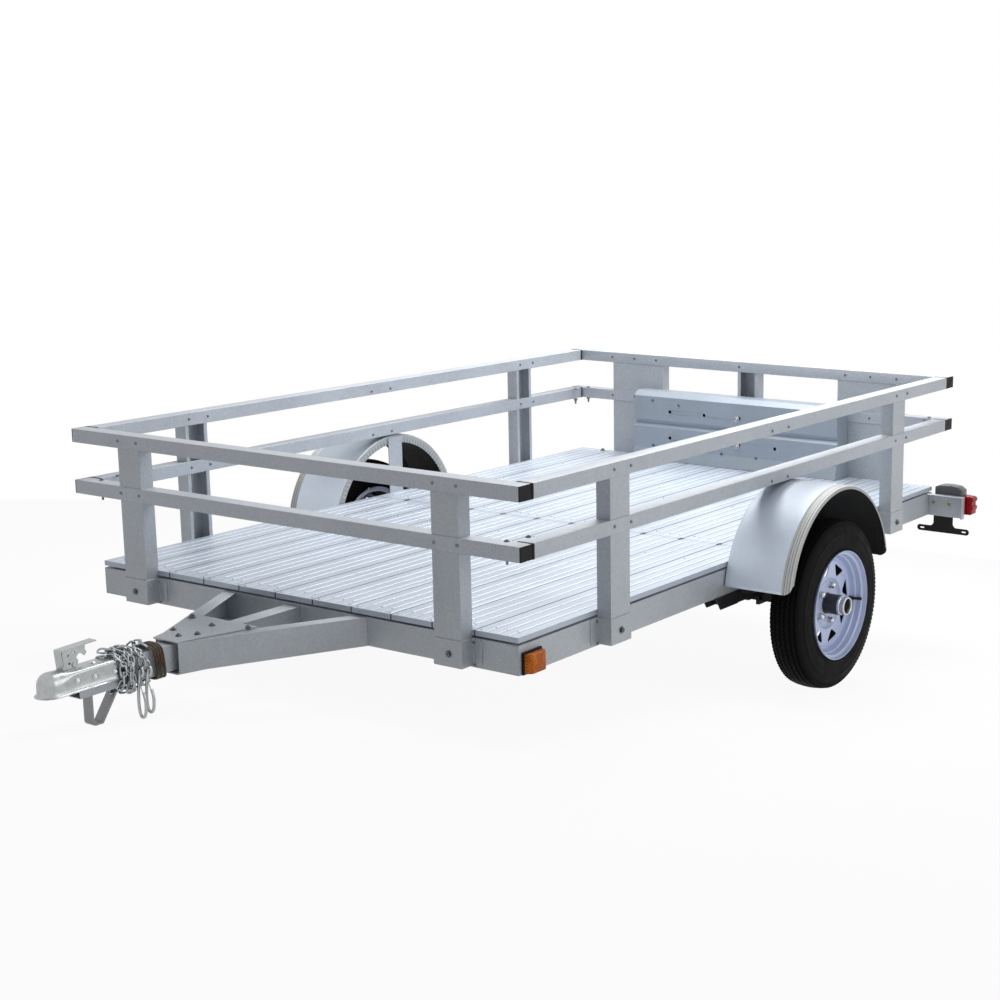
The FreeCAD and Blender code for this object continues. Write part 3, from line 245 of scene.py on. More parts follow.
def standing(at):
    # a matrix that stands what lies flat up in the plane of the wheels
    return Matrix.Translation(at) @ Matrix.Rotation(math.pi / 2, 4, "X")


def mirrorSide(bm, side):
    if side < 0:
        bmesh.ops.scale(bm, vec=(1, -1, 1), verts=bm.verts)
        bmesh.ops.reverse_faces(bm, faces=bm.faces)
    return bm


def lineMesh(points, resolution, smooth=True, **section):
    # a line through the points, or a smooth one near them, as a mesh
    curve = bpy.data.curves.new("line", "CURVE")
    curve.dimensions = "3D"
    curve.resolution_u = resolution
    for setting, value in section.items():
        setattr(curve, setting, value)
    spline = curve.splines.new("NURBS" if smooth else "POLY")
    spline.points.add(len(points) - 1)
    for point, at in zip(spline.points, points):
        point.co = (*at, 1)
    if smooth:
        spline.order_u = 3
        spline.use_endpoint_u = True
    holder = addObject("line", curve)
    mesh = bpy.data.meshes.new_from_object(holder)
    bpy.data.objects.remove(holder)
    return mesh


def smoothLine(route):
    return [vertex.co.copy() for vertex in lineMesh(route, 6).vertices]


def roundBar(path, radius, sides=4, smooth=True):
    return lineMesh(path, 5, smooth, bevel_depth=radius, bevel_resolution=sides, use_fill_caps=True)


# finishes

class Value:
    # a node's output that numbers and other outputs can be added to, and so on
    def __init__(self, nodes, socket):
        self.nodes = nodes
        self.socket = socket

    def math(self, operation, *others):
        return self.nodes.node("ShaderNodeMath", {"operation": operation}, self, *others)

    def __add__(self, other):
        return self.math("ADD", other)

    def __mul__(self, other):
        return self.math("MULTIPLY", other)

    def __sub__(self, other):
        return self.math("SUBTRACT", other)

    def __truediv__(self, other):
        return self.math("DIVIDE", other)


class Nodes:
    def __init__(self, owner):
        owner.use_nodes = True
        self.owner = owner
        self.tree = owner.node_tree
        self.tree.nodes.clear()

    def feed(self, socket, value):
        if isinstance(value, Value):
            self.tree.links.new(value.socket, socket)
        else:
            socket.default_value = (*value, 1) if socket.type == "RGBA" else value

    def node(self, kind, settings, *values, output=0, **named):
        made = self.tree.nodes.new(kind)
        for setting, value in settings.items():
            setattr(made, setting, value)
        for index, value in enumerate(values):
            self.feed(made.inputs[index], value)
        for name, value in named.items():
            # an input's name, or s and its number where inputs share a name
            self.feed(made.inputs[int(name[1:]) if name[1:].isdigit() else name.replace("_", " ")], value)
        return Value(self, made.outputs[output]) if made.outputs else None


class Finish(Nodes):
    def __init__(self, name):
        super().__init__(bpy.data.materials.new(name))
        self.place = self.node("ShaderNodeTexCoord", {}, output="Object")

    def noise(self, scale, detail=2.0, where=None):
        return self.node("ShaderNodeTexNoise", {}, Vector=where or self.place, Scale=scale, Detail=detail)

    def cells(self, scale):
        return self.node("ShaderNodeTexVoronoi", {}, Vector=self.place, Scale=scale, output="Color")

    def ramp(self, value, *stops):
        made = self.node("ShaderNodeValToRGB", {}, value)
        elements = made.socket.node.color_ramp.elements
        for index, (position, shade) in enumerate(stops):
            stop = elements[index] if index < 2 else elements.new(position)
            stop.position = position
            stop.color = (*(shade if isinstance(shade, tuple) else (shade,) * 3), 1)
        return made

    def mix(self, factor, first, second, blend="MIX"):
        settings = {"data_type": "RGBA", "blend_type": blend}
        return self.node("ShaderNodeMix", settings, factor, output=2, s6=first, s7=second)

    def multiply(self, first, *others):
        for other in others:
            first = self.mix(1.0, first, other, "MULTIPLY")
        return first

    def stretched(self, x, y, z):
        return self.node("ShaderNodeMapping", {}, self.place, Scale=(x, y, z))

    def part(self, name):
        return self.node("ShaderNodeSeparateXYZ", {}, self.place, output=name)

    def bump(self, height, strength, distance):
        return self.node("ShaderNodeBump", {}, Strength=strength, Distance=distance, Height=height)

    def wear(self, **sockets):
        shader = self.node("ShaderNodeBsdfPrincipled", {}, **sockets)
        self.node("ShaderNodeOutputMaterial", {}, shader)
        return self.owner


def makeGalvanised(name, shade, metallic=0.25, rough=0.42, spangle=0.12, paintedLightAndShade=None):
    # zinc crystals, cloudy patches and faint draw marks, and a piece's own painted light and shade
    finish = Finish(name)
    flakes = finish.cells(240)
    small = finish.cells(700)
    clouds = finish.noise(5, 3)
    streaks = finish.noise(3, 4, where=finish.stretched(12, 70, 12))
    grey = finish.ramp(flakes * 0.6 + small * 0.4, (0.15, 1 - spangle), (0.85, 1 + spangle))
    tone = finish.ramp(clouds * 0.7 + streaks * 0.3, (0.3, 0.9), (0.7, 1.05))
    base = finish.multiply(shade, grey, tone)
    # the piece's own painted light and shade, laid over its colour
    if paintedLightAndShade:
        base = paintedLightAndShade(finish, base)
    roughness = finish.ramp(flakes * 0.5 + clouds * 0.5, (0.2, rough - 0.07), (0.8, rough + 0.1))
    relief = finish.bump(finish.noise(800) * 0.4 + small * 0.6, 0.08, 0.0004)
    return finish.wear(Metallic=metallic, Base_Color=base, Roughness=roughness, Normal=relief)


def makeCloudy(name, scale, shades, roughness, relief, **fixed):
    # clouds between two shades and two roughnesses, over a fine relief
    finish = Finish(name)
    clouds = finish.noise(scale, 4)
    grains, strength, depth = relief
    return finish.wear(Base_Color=finish.ramp(clouds, *shades), Roughness=finish.ramp(clouds, *roughness),
                       Normal=finish.bump(finish.noise(grains), strength, depth), **fixed)


def scaled(shade, share):
    return tuple(value * share for value in shade)


def makePainted(name, shade, rough, coat=0.0, grain=0.05, shine=0.5):
    return makeCloudy(name, 18, [(0.3, scaled(shade, 1 - grain)), (0.7, scaled(shade, 1 + grain))],
                      [(0.3, rough - 0.05), (0.75, rough + 0.06)], (420, 0.08, 0.0005),
                      Metallic=0.0, Coat_Weight=coat, Coat_Roughness=0.12, Specular_IOR_Level=shine)


def makeRubber(name, shade):
    return makeCloudy(name, 25, [(0.3, shade), (0.75, scaled(shade, 1.6))], [(0.3, 0.52), (0.7, 0.7)],
                      (1400, 0.14, 0.0004), Metallic=0.0, Specular_IOR_Level=0.05)


def makeZinc(name, shade, rough=0.28, patch=0.14):
    return makeCloudy(name, 70, [(0.25, scaled(shade, 1 - patch)), (0.75, shade)],
                      [(0.3, rough - 0.06), (0.7, rough + 0.12)], (700, 0.08, 0.0004), Metallic=1.0)


def makeLens(name, shade, dark):
    # moulded prisms under a glossy face, in blocks of deeper and lighter colour
    finish = Finish(name)
    prisms = (finish.part("X") * 900).math("SINE") * (finish.part("Z") * 900).math("SINE")
    blocks = finish.ramp(prisms * 0.3 + finish.cells(55) * 0.5 + 0.15, (0.15, 0.0), (0.85, 1.0))
    return finish.wear(Base_Color=finish.mix(blocks, dark, shade), Roughness=0.24, Metallic=0.0,
                       Normal=finish.bump(prisms, 0.35, 0.0008), Coat_Weight=0.1, Coat_Roughness=0.05,
                       Specular_IOR_Level=0.12)


planks = {
    "pitch": 0.143, "ribs": [0.0355, 0.0715, 0.1075], "flank": 0.0052, "ribEnd": -0.055, "joint": -1.2465,
    "frontRivets": -0.060, "rivets": [-1.02, -1.30, -1.77, -2.14], "beside": [0.013, 0.0165],
}


def deckLines(finish, base):
    # painted highlights with painted shade on the ribs, and painted shade in the seams between the planks
    out = finish.part("Y")
    pitch = planks["pitch"]
    along = ((out + level["halfDeck"]) / pitch).math("FRACT") * pitch
    seam = (along - pitch / 2).math("ABSOLUTE") - 0.0684
    inside = out.math("ABSOLUTE").math("LESS_THAN", 0.780)
    # painted shade darkens the seams between the planks
    seamShade = finish.ramp(seam * inside * 900, (0.0, 1.0), (1.0, 0.22))
    # the ribs' front ends and the joint, as they lie in the parked trailer
    ribEnd, joint = [(toStance @ Vector((planks[x], 0, level["deckTop"]))).x for x in ("ribEnd", "joint")]
    ribbed = finish.part("X").math("LESS_THAN", ribEnd)
    for rib in planks["ribs"]:
        # a painted highlight on the crest, with painted shade on the flank on its far side
        crestHighlight = finish.ramp((along - rib).math("ABSOLUTE") * 300, (0.45, 1.5), (0.8, 1.0))
        flank = finish.ramp((along - rib - planks["flank"]).math("ABSOLUTE") * 300, (0.3, 0.62), (0.8, 1.0))
        base = finish.mix(ribbed, base, finish.multiply(base, crestHighlight, flank))
    # a painted highlight along the joint between the front and rear planks, with painted shade on either side
    # of it
    across = (finish.part("X") - joint).math("ABSOLUTE") * 130
    jointHighlightAndShade = finish.ramp(across, (0.25, 1.3), (0.55, 0.3), (0.85, 0.45), (0.98, 1.0))
    return finish.multiply(base, seamShade, jointHighlightAndShade)


def fenderCrownShade(finish, base):
    # painted shade: the fender's colour is darker towards its crown and lighter lower down
    return finish.multiply(base, finish.ramp(finish.part("Z"), (0.42, 1.12), (0.62, 0.66)))


def bandLines(finish, base):
    # shaded grooves between the rolled ridges along the fender's edge
    across = (finish.part("Y").math("ABSOLUTE") - 0.9845) * (math.tau / 0.0088)
    return finish.multiply(base, finish.ramp(across.math("SINE") * 0.5 + 0.5, (0.15, 0.6), (0.75, 1.05)))


galvanised = makeGalvanised("galvanisedSheet", (0.475, 0.505, 0.54))
galvanisedDeck = makeGalvanised("galvanisedPlank", (0.51, 0.565, 0.645), 0.2, 0.42, 0.03, deckLines)
galvanisedTube = makeGalvanised("galvanisedTube", (0.495, 0.525, 0.57))
panelSheet = makeGalvanised("panelSheet", (0.37, 0.42, 0.48), spangle=0.05)
fenderSheet = makeGalvanised("fenderSheet", (0.67, 0.74, 0.83), 0.5, 0.52, 0.03, fenderCrownShade)
fenderBand = makeGalvanised("fenderBand", (0.66, 0.67, 0.66), 0.3, 0.5, 0.04, bandLines)
# the fender's inside is near-black painted shade
fenderLining = makePainted("fenderLining", (0.016, 0.016, 0.017), 0.7, shine=0.2)
strapSteel = makeGalvanised("strapSteel", (0.28, 0.29, 0.30), metallic=0.5, rough=0.35)
rimPaint = makePainted("whiteRimPaint", (0.50, 0.57, 0.80), 0.3, coat=0.5, grain=0.02)
hubPaint = makePainted("blackHubPaint", (0.012, 0.012, 0.013), 0.36, coat=0.2)
blackSteel = makePainted("blackSteel", (0.010, 0.010, 0.011), 0.5, shine=0.2)
blackPlastic = makePainted("blackPlastic", (0.009, 0.009, 0.010), 0.5, shine=0.15)
housingPlastic = makePainted("housingPlastic", (0.060, 0.063, 0.072), 0.36, coat=0.3)
# near-black painted shade for the hollows behind the wheel disc, in the hub cap and behind the panel's holes
darkInside = makePainted("darkInside", (0.008, 0.008, 0.008), 0.8, shine=0.1)
tyreRubber = makeRubber("tyreRubber", (0.0045, 0.0044, 0.0050))
zincPlate = makeZinc("brightZinc", (0.62, 0.63, 0.63), rough=0.26)
boltZinc = makeZinc("boltZinc", (0.19, 0.195, 0.20), rough=0.26, patch=0.4)
couplerZinc = makeZinc("couplerZinc", (0.46, 0.48, 0.485), rough=0.31, patch=0.22)
chainZinc = makeZinc("chainZinc", (0.46, 0.48, 0.50), rough=0.16, patch=0.5)
hookZinc = makeZinc("hookZinc", (0.42, 0.43, 0.44), rough=0.22)
brassZinc = makeZinc("yellowZinc", (0.42, 0.30, 0.14), rough=0.3)
amberLens = makeLens("amberLens", (0.95, 0.27, 0.004), (0.36, 0.06, 0.002))
redLens = makeLens("redLens", (0.55, 0.008, 0.016), (0.22, 0.003, 0.008))
print("finishes made")


# wiring

cable = {
    "turns": 5.75, "pitch": 0.0052, "firstX": 0.4445, "halfWide": 0.0345, "halfHigh": 0.0445, "slant": 0.006,
    "strand": 0.0024, "middle": 0.37,
    "colours": {"brown": (0.12, 0.045, 0.018), "green": (0.01, 0.16, 0.09), "cream": (0.55, 0.42, 0.25),
                "dark": (0.022, 0.02, 0.02)},
}


def makeWiring():
    wide, high, middle = cable["halfWide"], cable["halfHigh"], cable["middle"]
    half = [(0.5, -1), (0.93, -0.88), (1.03, -0.4), (1.05, 0), (1.03, 0.4), (0.93, 0.88), (0.5, 1.02)]
    ring = [(0, -1.02), *half, (0, 1.05)] + [(-y, z) for y, z in reversed(half)]
    start = cable["firstX"] - cable["slant"] - 0.001
    route = [(start, 0, level["tongueBottom"] + 0.0006), (start, 0.001, middle - high + 0.003)]
    for index in range(1, int(cable["turns"] * len(ring))):
        y, z = ring[index % len(ring)]
        loose = 1 + 0.025 * math.sin(index * 0.39)
        x = cable["firstX"] + cable["slant"] * z + cable["pitch"] * index / len(ring)
        x += 0.0016 * math.sin(index * 0.61)
        route.append((x, y * wide * loose, middle + z * high * loose))
    route += [(0.4660, -0.0400, 0.3980), (0.4570, -0.0425, 0.3900), (0.4525, -0.0420, 0.3820)]
    path = smoothLine(route)
    bm = bmesh.new()
    # four wires twisted loosely round the one line
    reach = cable["strand"] * 0.72
    for wire in range(4):
        strand, travelled = [], 0.0
        for index, at in enumerate(path):
            ahead = (path[min(index + 1, len(path) - 1)] - path[max(index - 1, 0)]).normalized()
            travelled += (at - path[max(index - 1, 0)]).length
            across = (Vector((1, 0, 0)) - ahead * ahead.x).normalized()
            turn = math.tau * wire / 4 + travelled * 22
            strand.append(at + across * reach * math.cos(turn) + ahead.cross(across) * reach * math.sin(turn))
        addMesh(bm, roundBar(strand, cable["strand"] / 2, 1, smooth=False), material=wire)
    wires = [makePainted(f"{name}Wire", shade, 0.42, grain=0.08) for name, shade in cable["colours"].items()]
    wiring = finishPiece("wiring", bm, wires, slot="wiring", replaces=["wiring_coil"], smoothAngle=80)
    length = sum((b - a).length for a, b in zip(path, path[1:]))
    return length


print("wiring made", round(makeWiring(), 3))


# fasteners

def makePanHead(radius=0.0048, high=0.0030):
    profile = [(-0.001, 0), (-0.001, radius), (high * 0.35, radius), (high * 0.8, radius * 0.78),
               (high, radius * 0.4), (high, 0)]
    return lathed("panHead", (profile, 12))


def makeHexBolt(across=0.0064, high=0.0052, washer=0.0106, stud=0.0036, reach=0.0026):
    # washer, chamfered hexagon head and the end of its stud
    bm = bmesh.new()
    sheet = 0.002
    profile = [(-0.001, 0), (-0.001, washer), (0.0014, washer), (sheet, washer - 0.0007), (sheet, 0)]
    addLathe(bm, profile, 18, axis="z")
    made = addHexagon(bm, across * 1.12, high, sheet + high / 2)
    rims = [edge for edge in {e for v in made for e in v.link_edges}
            if all(v.co.z > sheet + high * 0.9 for v in edge.verts)]
    ease(bm, rims, 0.0008, 1, "EDGES")
    top = sheet + high
    end = top + reach
    profile = [(top - 0.001, 0), (top - 0.001, stud), (end - 0.0008, stud), (end, stud * 0.75), (end, 0)]
    addLathe(bm, profile, 10, axis="z")
    return keep(outward(bm), "hexBolt")


bolts = {
    "rails": [0.814, 0.6605], "splice": -1.286,
    "front": [-0.633, -0.556, 0.556, 0.633],
    "side": [-0.406, -0.483, -2.081, -2.161],
    "rearInner": [-0.633, -0.526, -0.422, -0.037, 0.422, 0.526, 0.633],
    "pocketHeight": 0.371, "frontPocket": 0.596, "sidePockets": [-0.434, -2.106],
    "wingHeights": [0.398, 0.337], "frontWings": [0.547, 0.645],
    "sideWings": [-0.386, -0.482, -2.058, -2.154],
    "posts": [(-0.0390, 0.762), (-0.1100, 0.775), (-2.4300, 0.775), (-2.5010, 0.762)],
    "gusset": [(0.211, 0.093), (0.329, 0.031), (0.367, 0.003), (0.248, -0.003), (0.334, -0.054),
               (0.211, -0.120)],
    "gussetTop": 0.412,
}


def makeFasteners():
    pan, halfBed, pocket = makePanHead(), level["halfBed"], bolts["pocketHeight"]
    small, large, nuts, studs, wings = [], [], [], [], []
    for z in bolts["rails"]:
        # each rail has a head on both of its faces
        for y in bolts["front"]:
            small += [((0, y, z), (1, 0, 0)), ((-0.05, y, z), (-1, 0, 0))]
        for y in bolts["rearInner"]:
            small += [((-2.49, y, z), (1, 0, 0)), ((-2.54, y, z), (-1, 0, 0))]
        places = [(x, side, z) for x in bolts["side"] for side in (-1, 1)]
        joints = [bolts["splice"] - 0.049, bolts["splice"] + 0.049]
        places += [(x, side, z - 0.008) for side in (-1, 1) for x in joints]
        for x, side, high in places:
            small += [((x, side * halfBed, high), (0, side, 0)),
                      ((x, side * (halfBed - 0.05), high), (0, -side, 0))]
    for side in (-1, 1):
        large.append(((0, side * bolts["frontPocket"], pocket), (1, 0, 0)))
        large += [((x, side * halfBed, pocket), (0, side, 0)) for x in bolts["sidePockets"]]
        nuts += [((x, side * y, 0.680), (0, 0, 1)) for x, y in bolts["posts"]]
        studs += [((x, side * y, 0.640), (0, 0, -1)) for x, y in bolts["posts"]]
        for z in bolts["wingHeights"]:
            wings += [((-0.0455, side * y, z), (1, 0, 0)) for y in bolts["frontWings"]]
            wings += [((x, side * (level["halfDeck"] + 0.0025), z), (0, side, 0)) for x in bolts["sideWings"]]
    large += [((x, y, bolts["gussetTop"]), (0, 0, 1)) for x, y in bolts["gusset"]]
    nut = makeHexBolt(0.0042, 0.0022, 0.0080, 0.0024, 0.0012)
    stud = makeHexBolt(0.0062, 0.0056, 0.0090, 0.0036, 0.0120)
    parts = []
    for places, mesh in ((small, pan), (large, makeHexBolt()), (nuts, nut), (studs, stud)):
        for index, (at, normal) in enumerate(places):
            parts.append((mesh, facing(normal, Vector(at), index * 2.4)))
    finishPiece("frameBolts", joined(parts), [boltZinc], slot="zinc")
    parts = [(pan, facing(normal, Vector(at))) for at, normal in wings]
    finishPiece("pocketBolts", joined(parts), [boltZinc], slot="zinc")


def makeDeckRivets():
    rivet = lathed("rivet", (mm((-0.6, 3.4), (0.72, 2.72), (1.2, 0)), 8))
    top = level["deckTop"]
    seams = [planks["pitch"] * index - level["halfDeck"] for index in range(1, 11)]
    frontOut, rearOut = planks["beside"]
    places = []
    for seam in seams:
        places += [(planks["frontRivets"], seam + side * frontOut, top) for side in (-1, 1)]
        places += [(x, seam + rearOut, top) for x in planks["rivets"]]
    parts = [(rivet, Matrix.Translation(place)) for place in places]
    finishPiece("deckRivets", joined(parts), [boltZinc], slot="zinc")

    # a small clip folded over each seam where the two rows of planks meet
    bm = bmesh.new()
    x = planks["joint"]
    for seam in seams:
        addPlate(bm, box(x - 0.011, seam - 0.006, x + 0.011, seam + 0.006), top - 0.001, top + 0.0016,
                 corner=0.002)
    finishPiece("deckClips", bm, [boltZinc], slot="galvanised")


# wheels

wheel = {
    "middle": Vector((-1.353, 0.958, 0.265)), "turns": 240, "forward": 13,
    "grooves": [0.0085, 0.0255, 0.0400], "grooveDepth": 0.0050, "innerShare": 0.93, "zigzag": 0.0030,
    "windows": 8, "windowTip": 0.0865, "windowBase": 0.1215, "windowHalf": 0.0330, "windowCorner": 0.0100,
    "discFace": 0.017, "sheet": 0.003,
    "nuts": 5, "nutCircle": 0.058, "firstNut": 21, "nutFace": 0.011, "valveTurn": 95,
}


def sideOf(side):
    return "left" if side > 0 else "right"


def finishSide(name, bm, side, materials, slot, part="", **more):
    # a piece of the left or right wheel, in place of the solid that part names
    where = sideOf(side)
    finishPiece(name + where.title(), mirrorSide(bm, side), materials, "wheel_" + where, slot,
                [f"{part}_{where}"] if part else (), **more)


def roundWheel(angle):
    # a turn about the axle, from the top towards the rear
    middle = wheel["middle"]
    return Matrix.Translation(middle) @ Matrix.Rotation(-math.radians(angle), 4, "Y")


def makeTyre(side):
    half = [(0.0, 0.2650)]
    for groove in wheel["grooves"]:
        crown = 0.265 - 3.0 * groove ** 2
        deep = crown - wheel["grooveDepth"]
        half += [(groove - 0.0024, crown), (groove - 0.0014, deep), (groove + 0.0014, deep),
                 (groove + 0.0024, crown - 0.0002)]
    half += mm(
        (44.5, 258.2), (47.5, 256), (50, 252), (51.5, 248.5), (53, 243), (55, 235), (57.2, 225),
        (57.8, 224), (58, 222.2), (57.4, 220.8), (58.4, 212), (59, 200), (58.8, 188), (58.2, 180),
        (58.8, 178.8), (58, 177.2), (56.6, 173.5), (55.8, 169.8), (50, 169), (44, 167.2), (30, 164)
    )
    profile = [(-a * wheel["innerShare"], r) for a, r in reversed(half[1:])] + half
    bm = bmesh.new()
    addLathe(bm, profile, wheel["turns"], wheel["middle"], closed=True)
    step = math.tau / wheel["turns"]
    for vert in bm.verts:
        offset = vert.co - wheel["middle"]
        out = math.hypot(offset.x, offset.z)
        turn = round(math.atan2(offset.x, offset.z) / step)
        if abs(offset.y) < 0.0436 and out > 0.25:
            vert.co.y += wheel["zigzag"] * (1 if turn % 2 else -1)
        elif 0.0436 < offset.y < 0.0525 and out > 0.245:
            vert.co.y += 0.0014 if turn % 2 else -0.0014
    outward(bm)
    finishSide("tyre", bm, side, [tyreRubber], "tyre", "tyre", smoothAngle=40)


def makeWheelDisc():
    # a flat ring with eight windows, stood up in the wheel's plane
    bm = bmesh.new()
    for radius in (0.1300, 0.0836):
        bmesh.ops.create_circle(bm, cap_ends=False, segments=72, radius=radius)
    half, base = wheel["windowHalf"], wheel["windowBase"]
    for index in range(wheel["windows"]):
        corners = addLoop(bm, [(0, wheel["windowTip"], 0), (half, base, 0), (-half, base, 0)])
        rounded = ease(bm, corners, wheel["windowCorner"], 3)
        turn = math.radians(index * 360 / wheel["windows"] - wheel["forward"])
        bmesh.ops.rotate(bm, cent=(0, 0, 0), matrix=Matrix.Rotation(turn, 3, "Z"), verts=list(set(rounded)))
    fillSheet(bm, (0, 0, wheel["sheet"]))
    place = standing(wheel["middle"] + Vector((0, wheel["discFace"], 0)))
    bmesh.ops.transform(bm, matrix=place, verts=bm.verts)
    return bm


def makeRim(side):
    bm = makeWheelDisc()
    outer = mm(
        (58.2, 169), (60, 170), (62.5, 169.8), (63.8, 168.6), (63.4, 167.2), (60, 165.8), (53, 164.8),
        (50, 163), (49, 159.6), (47.8, 157.2), (43, 155.8), (34.5, 155), (31.5, 153.2), (30, 150),
        (26, 148), (21.5, 146.2), (-8, 145.8), (-30, 146), (-54, 148), (-59, 153), (-61, 160),
        (-63.8, 168), (-62, 170), (-58.2, 169), (-57, 156), (-50, 151.5), (22, 151.5), (27, 156.2),
        (40, 159), (45, 164), (55.5, 168)
    )
    barrel = addLathe(bm, outer, 96, wheel["middle"], closed=True)
    for face in barrel:
        # the barrel behind the disc gets near-black painted shade
        at = face.calc_center_median() - wheel["middle"]
        if at.y < 0.0140 and math.hypot(at.x, at.z) < 0.1530:
            face.material_index = 1
    dish = mm(
        (29, 146.2), (22, 144.8), (17, 143), (13.5, 140.8), (13.2, 138.5), (15.5, 135.5), (17, 133),
        (17, 129.8), (14, 129.8), (14, 133.5), (10.2, 138.5), (10.5, 141.5), (14.5, 144.5), (25, 147.5)
    )
    addLathe(bm, dish, 96, wheel["middle"], closed=True)
    land = mm(
        (17, 83.8), (17.3, 82), (16.5, 80), (11, 76.2), (8, 73.8), (7, 71), (8, 69), (10.5, 67),
        (11, 65), (11, 33), (7, 33), (4, 71.5), (5.5, 75.5), (13.5, 82), (14, 83.8)
    )
    addLathe(bm, land, 72, wheel["middle"], closed=True)
    finishSide("rim", bm, side, [rimPaint, darkInside], "rim", "rim", bevel=0.0007)

    # nuts with domed tops on their studs, and the valve
    nut = bmesh.new()
    addHexagon(nut, 0.0108, 0.010, 0.008)
    ease(nut, nut.edges[:], 0.0007, 1, "EDGES")
    addLathe(nut, mm((-1, 0), (-1, 11.8), (3, 10.4), (3, 0)), 18, axis="z")
    addLathe(nut, mm((12, 0), (12, 8.8), (15, 7.8), (17, 5.2), (17.6, 0)), 18, axis="z")
    nutMesh = keep(outward(nut), "wheelNut")
    bm = bmesh.new()
    for index in range(wheel["nuts"]):
        place = facing((0, 1, 0), Vector((0, wheel["nutFace"], wheel["nutCircle"])))
        addMesh(bm, nutMesh, roundWheel(wheel["firstNut"] + index * 360 / wheel["nuts"]) @ place)
    stem = mm(
        (-6, 0), (-6, 6.2), (1, 6.8), (4, 5.2), (16, 4.2),
        (26, 3.8), (26.5, 4.6), (37, 4.6), (38.5, 3.6), (38.5, 0)
    )
    stem = lathed("valveStem", (stem, 16))
    lean = Vector((0, 0.9, 0.42)).normalized()
    addMesh(bm, stem, roundWheel(wheel["valveTurn"]) @ facing(lean, Vector((0, 0.018, 0.1365))), 1)
    finishSide("wheelNuts", bm, side, [zincPlate, blackPlastic], "zinc")


def makeHub(side):
    bm = bmesh.new()
    middle = wheel["middle"]
    barrel = mm(
        (-69, 0), (-69, 30), (-68, 31), (-6, 31), (-6, 71), (-5, 72), (3, 72), (3.5, 33), (10, 33),
        (12, 31), (54, 31), (55.5, 30.4), (56, 29), (60, 28.8), (60.5, 28), (60.5, 20)
    )
    addLathe(bm, barrel, 48, middle, material=0)
    capRing = mm(
        (56, 23), (58, 29), (60, 30), (65, 30), (66.2, 28.8), (66.8, 27.8), (70.5, 27.8), (71.2, 28.4),
        (72, 28.8), (80, 28.8), (82.2, 28.4), (83.6, 27), (83.9, 25.2), (83.2, 23.8), (80, 22.8),
        (73, 22.4)
    )
    addLathe(bm, capRing, 48, middle, material=1)
    # the cap's recessed middle gets near-black painted shade
    recess = mm((74, 23), (73.5, 15), (75, 10), (77.5, 8.5), (78, 0))
    addLathe(bm, recess, 36, middle, material=2)
    finishSide("hub", bm, side, [hubPaint, zincPlate, darkInside], "hub", "hub")


# fenders

fender = {
    "middle": Vector((-1.353, 0.7895, 0.318)), "width": 0.229, "radius": 0.318, "flange": 0.030,
    "sweep": 165, "steps": 110, "band": 0.034, "ridges": 4, "ridge": 0.0022, "crimp": 0.0009, "sheet": 0.0015,
    "corner": 0.034, "bend": 0.007, "cornerTurns": [15, 32, 50, 68, 84],
}


def makeFender(side):
    radius, width, bend, ridge = (fender[size] for size in ("radius", "width", "bend", "ridge"))
    profile = [(0.0002, radius - fender["flange"]), (0.0002, radius - 0.004), (0.0012, radius - 0.0012),
               (0.004, radius)]
    start, end = width - fender["band"], width - bend
    profile += [(share * start, radius) for share in (0.12, 0.3, 0.5, 0.7, 0.88, 1)]
    pitch = (end - start) / fender["ridges"]
    for index in range(fender["ridges"]):
        at = start + pitch * (index + 0.5)
        profile += [(at - pitch / 3, radius - ridge), (at, radius - 0.0001), (at + pitch / 3, radius - ridge)]
    edge = width - 0.0002
    profile += [
        (end, radius - 0.0006), (end + bend * 0.5, radius - 0.0016), (end + bend * 0.86, radius - 0.0042),
        (edge, radius - 0.0075), (edge, radius - 0.0115),
    ]
    half = math.radians(fender["sweep"] / 2)
    bm = bmesh.new()
    addLathe(bm, profile, fender["steps"], fender["middle"], start=-half, sweep=2 * half)
    low = fender["middle"].z + radius * math.cos(half)
    centre = Vector((0, fender["middle"].y + width - fender["corner"], low + fender["corner"] - 0.001))
    for angle in fender["cornerTurns"]:
        away = Vector((0, math.cos(math.radians(angle)), -math.sin(math.radians(angle))))
        bmesh.ops.bisect_plane(bm, geom=bm.verts[:] + bm.edges[:] + bm.faces[:], dist=1e-6,
                               plane_co=centre + away * fender["corner"], plane_no=away, clear_outer=True)
    step = 2 * half / fender["steps"]
    for vert in bm.verts:
        offset = vert.co - fender["middle"]
        out = math.hypot(offset.x, offset.z)
        if offset.y < 0.0006 and out < radius - 0.006:
            turn = round((math.atan2(offset.x, offset.z) + half) / step)
            vert.co.y += fender["crimp"] * (2 if turn % 2 else 0)
    # faces look away from the wheel before the sheet gets its thickness
    for face in bm.faces:
        offset = face.calc_center_median() - fender["middle"]
        away = Vector((offset.x, 0, offset.z)).normalized() if offset.y > 0.003 else Vector((0, -1, 0))
        if offset.y > width - 0.001:
            away = Vector((0, 1, 0))
        if face.normal.dot(away) < 0:
            face.normal_flip()
        face.material_index = 1 if offset.y > start or offset.y < 0.002 else 0
    where = sideOf(side)
    piece = finishPiece("fender" + where.title(), mirrorSide(bm, side),
                        [fenderSheet, fenderBand, fenderLining, fenderLining],
                        slot="fender", replaces=["fender_" + where], smoothAngle=50)
    sheet = giveThickness(piece, fender["sheet"])
    # the sheet's inner side takes the near-black painted shade
    sheet.material_offset = 2
    sheet.material_offset_rim = 0


for side in (1, -1):
    makeTyre(side)
    makeRim(side)
    makeHub(side)
    makeFender(side)
makeFasteners()
makeDeckRivets()
print("wheels, fenders and fasteners made")


# coupler and its lever

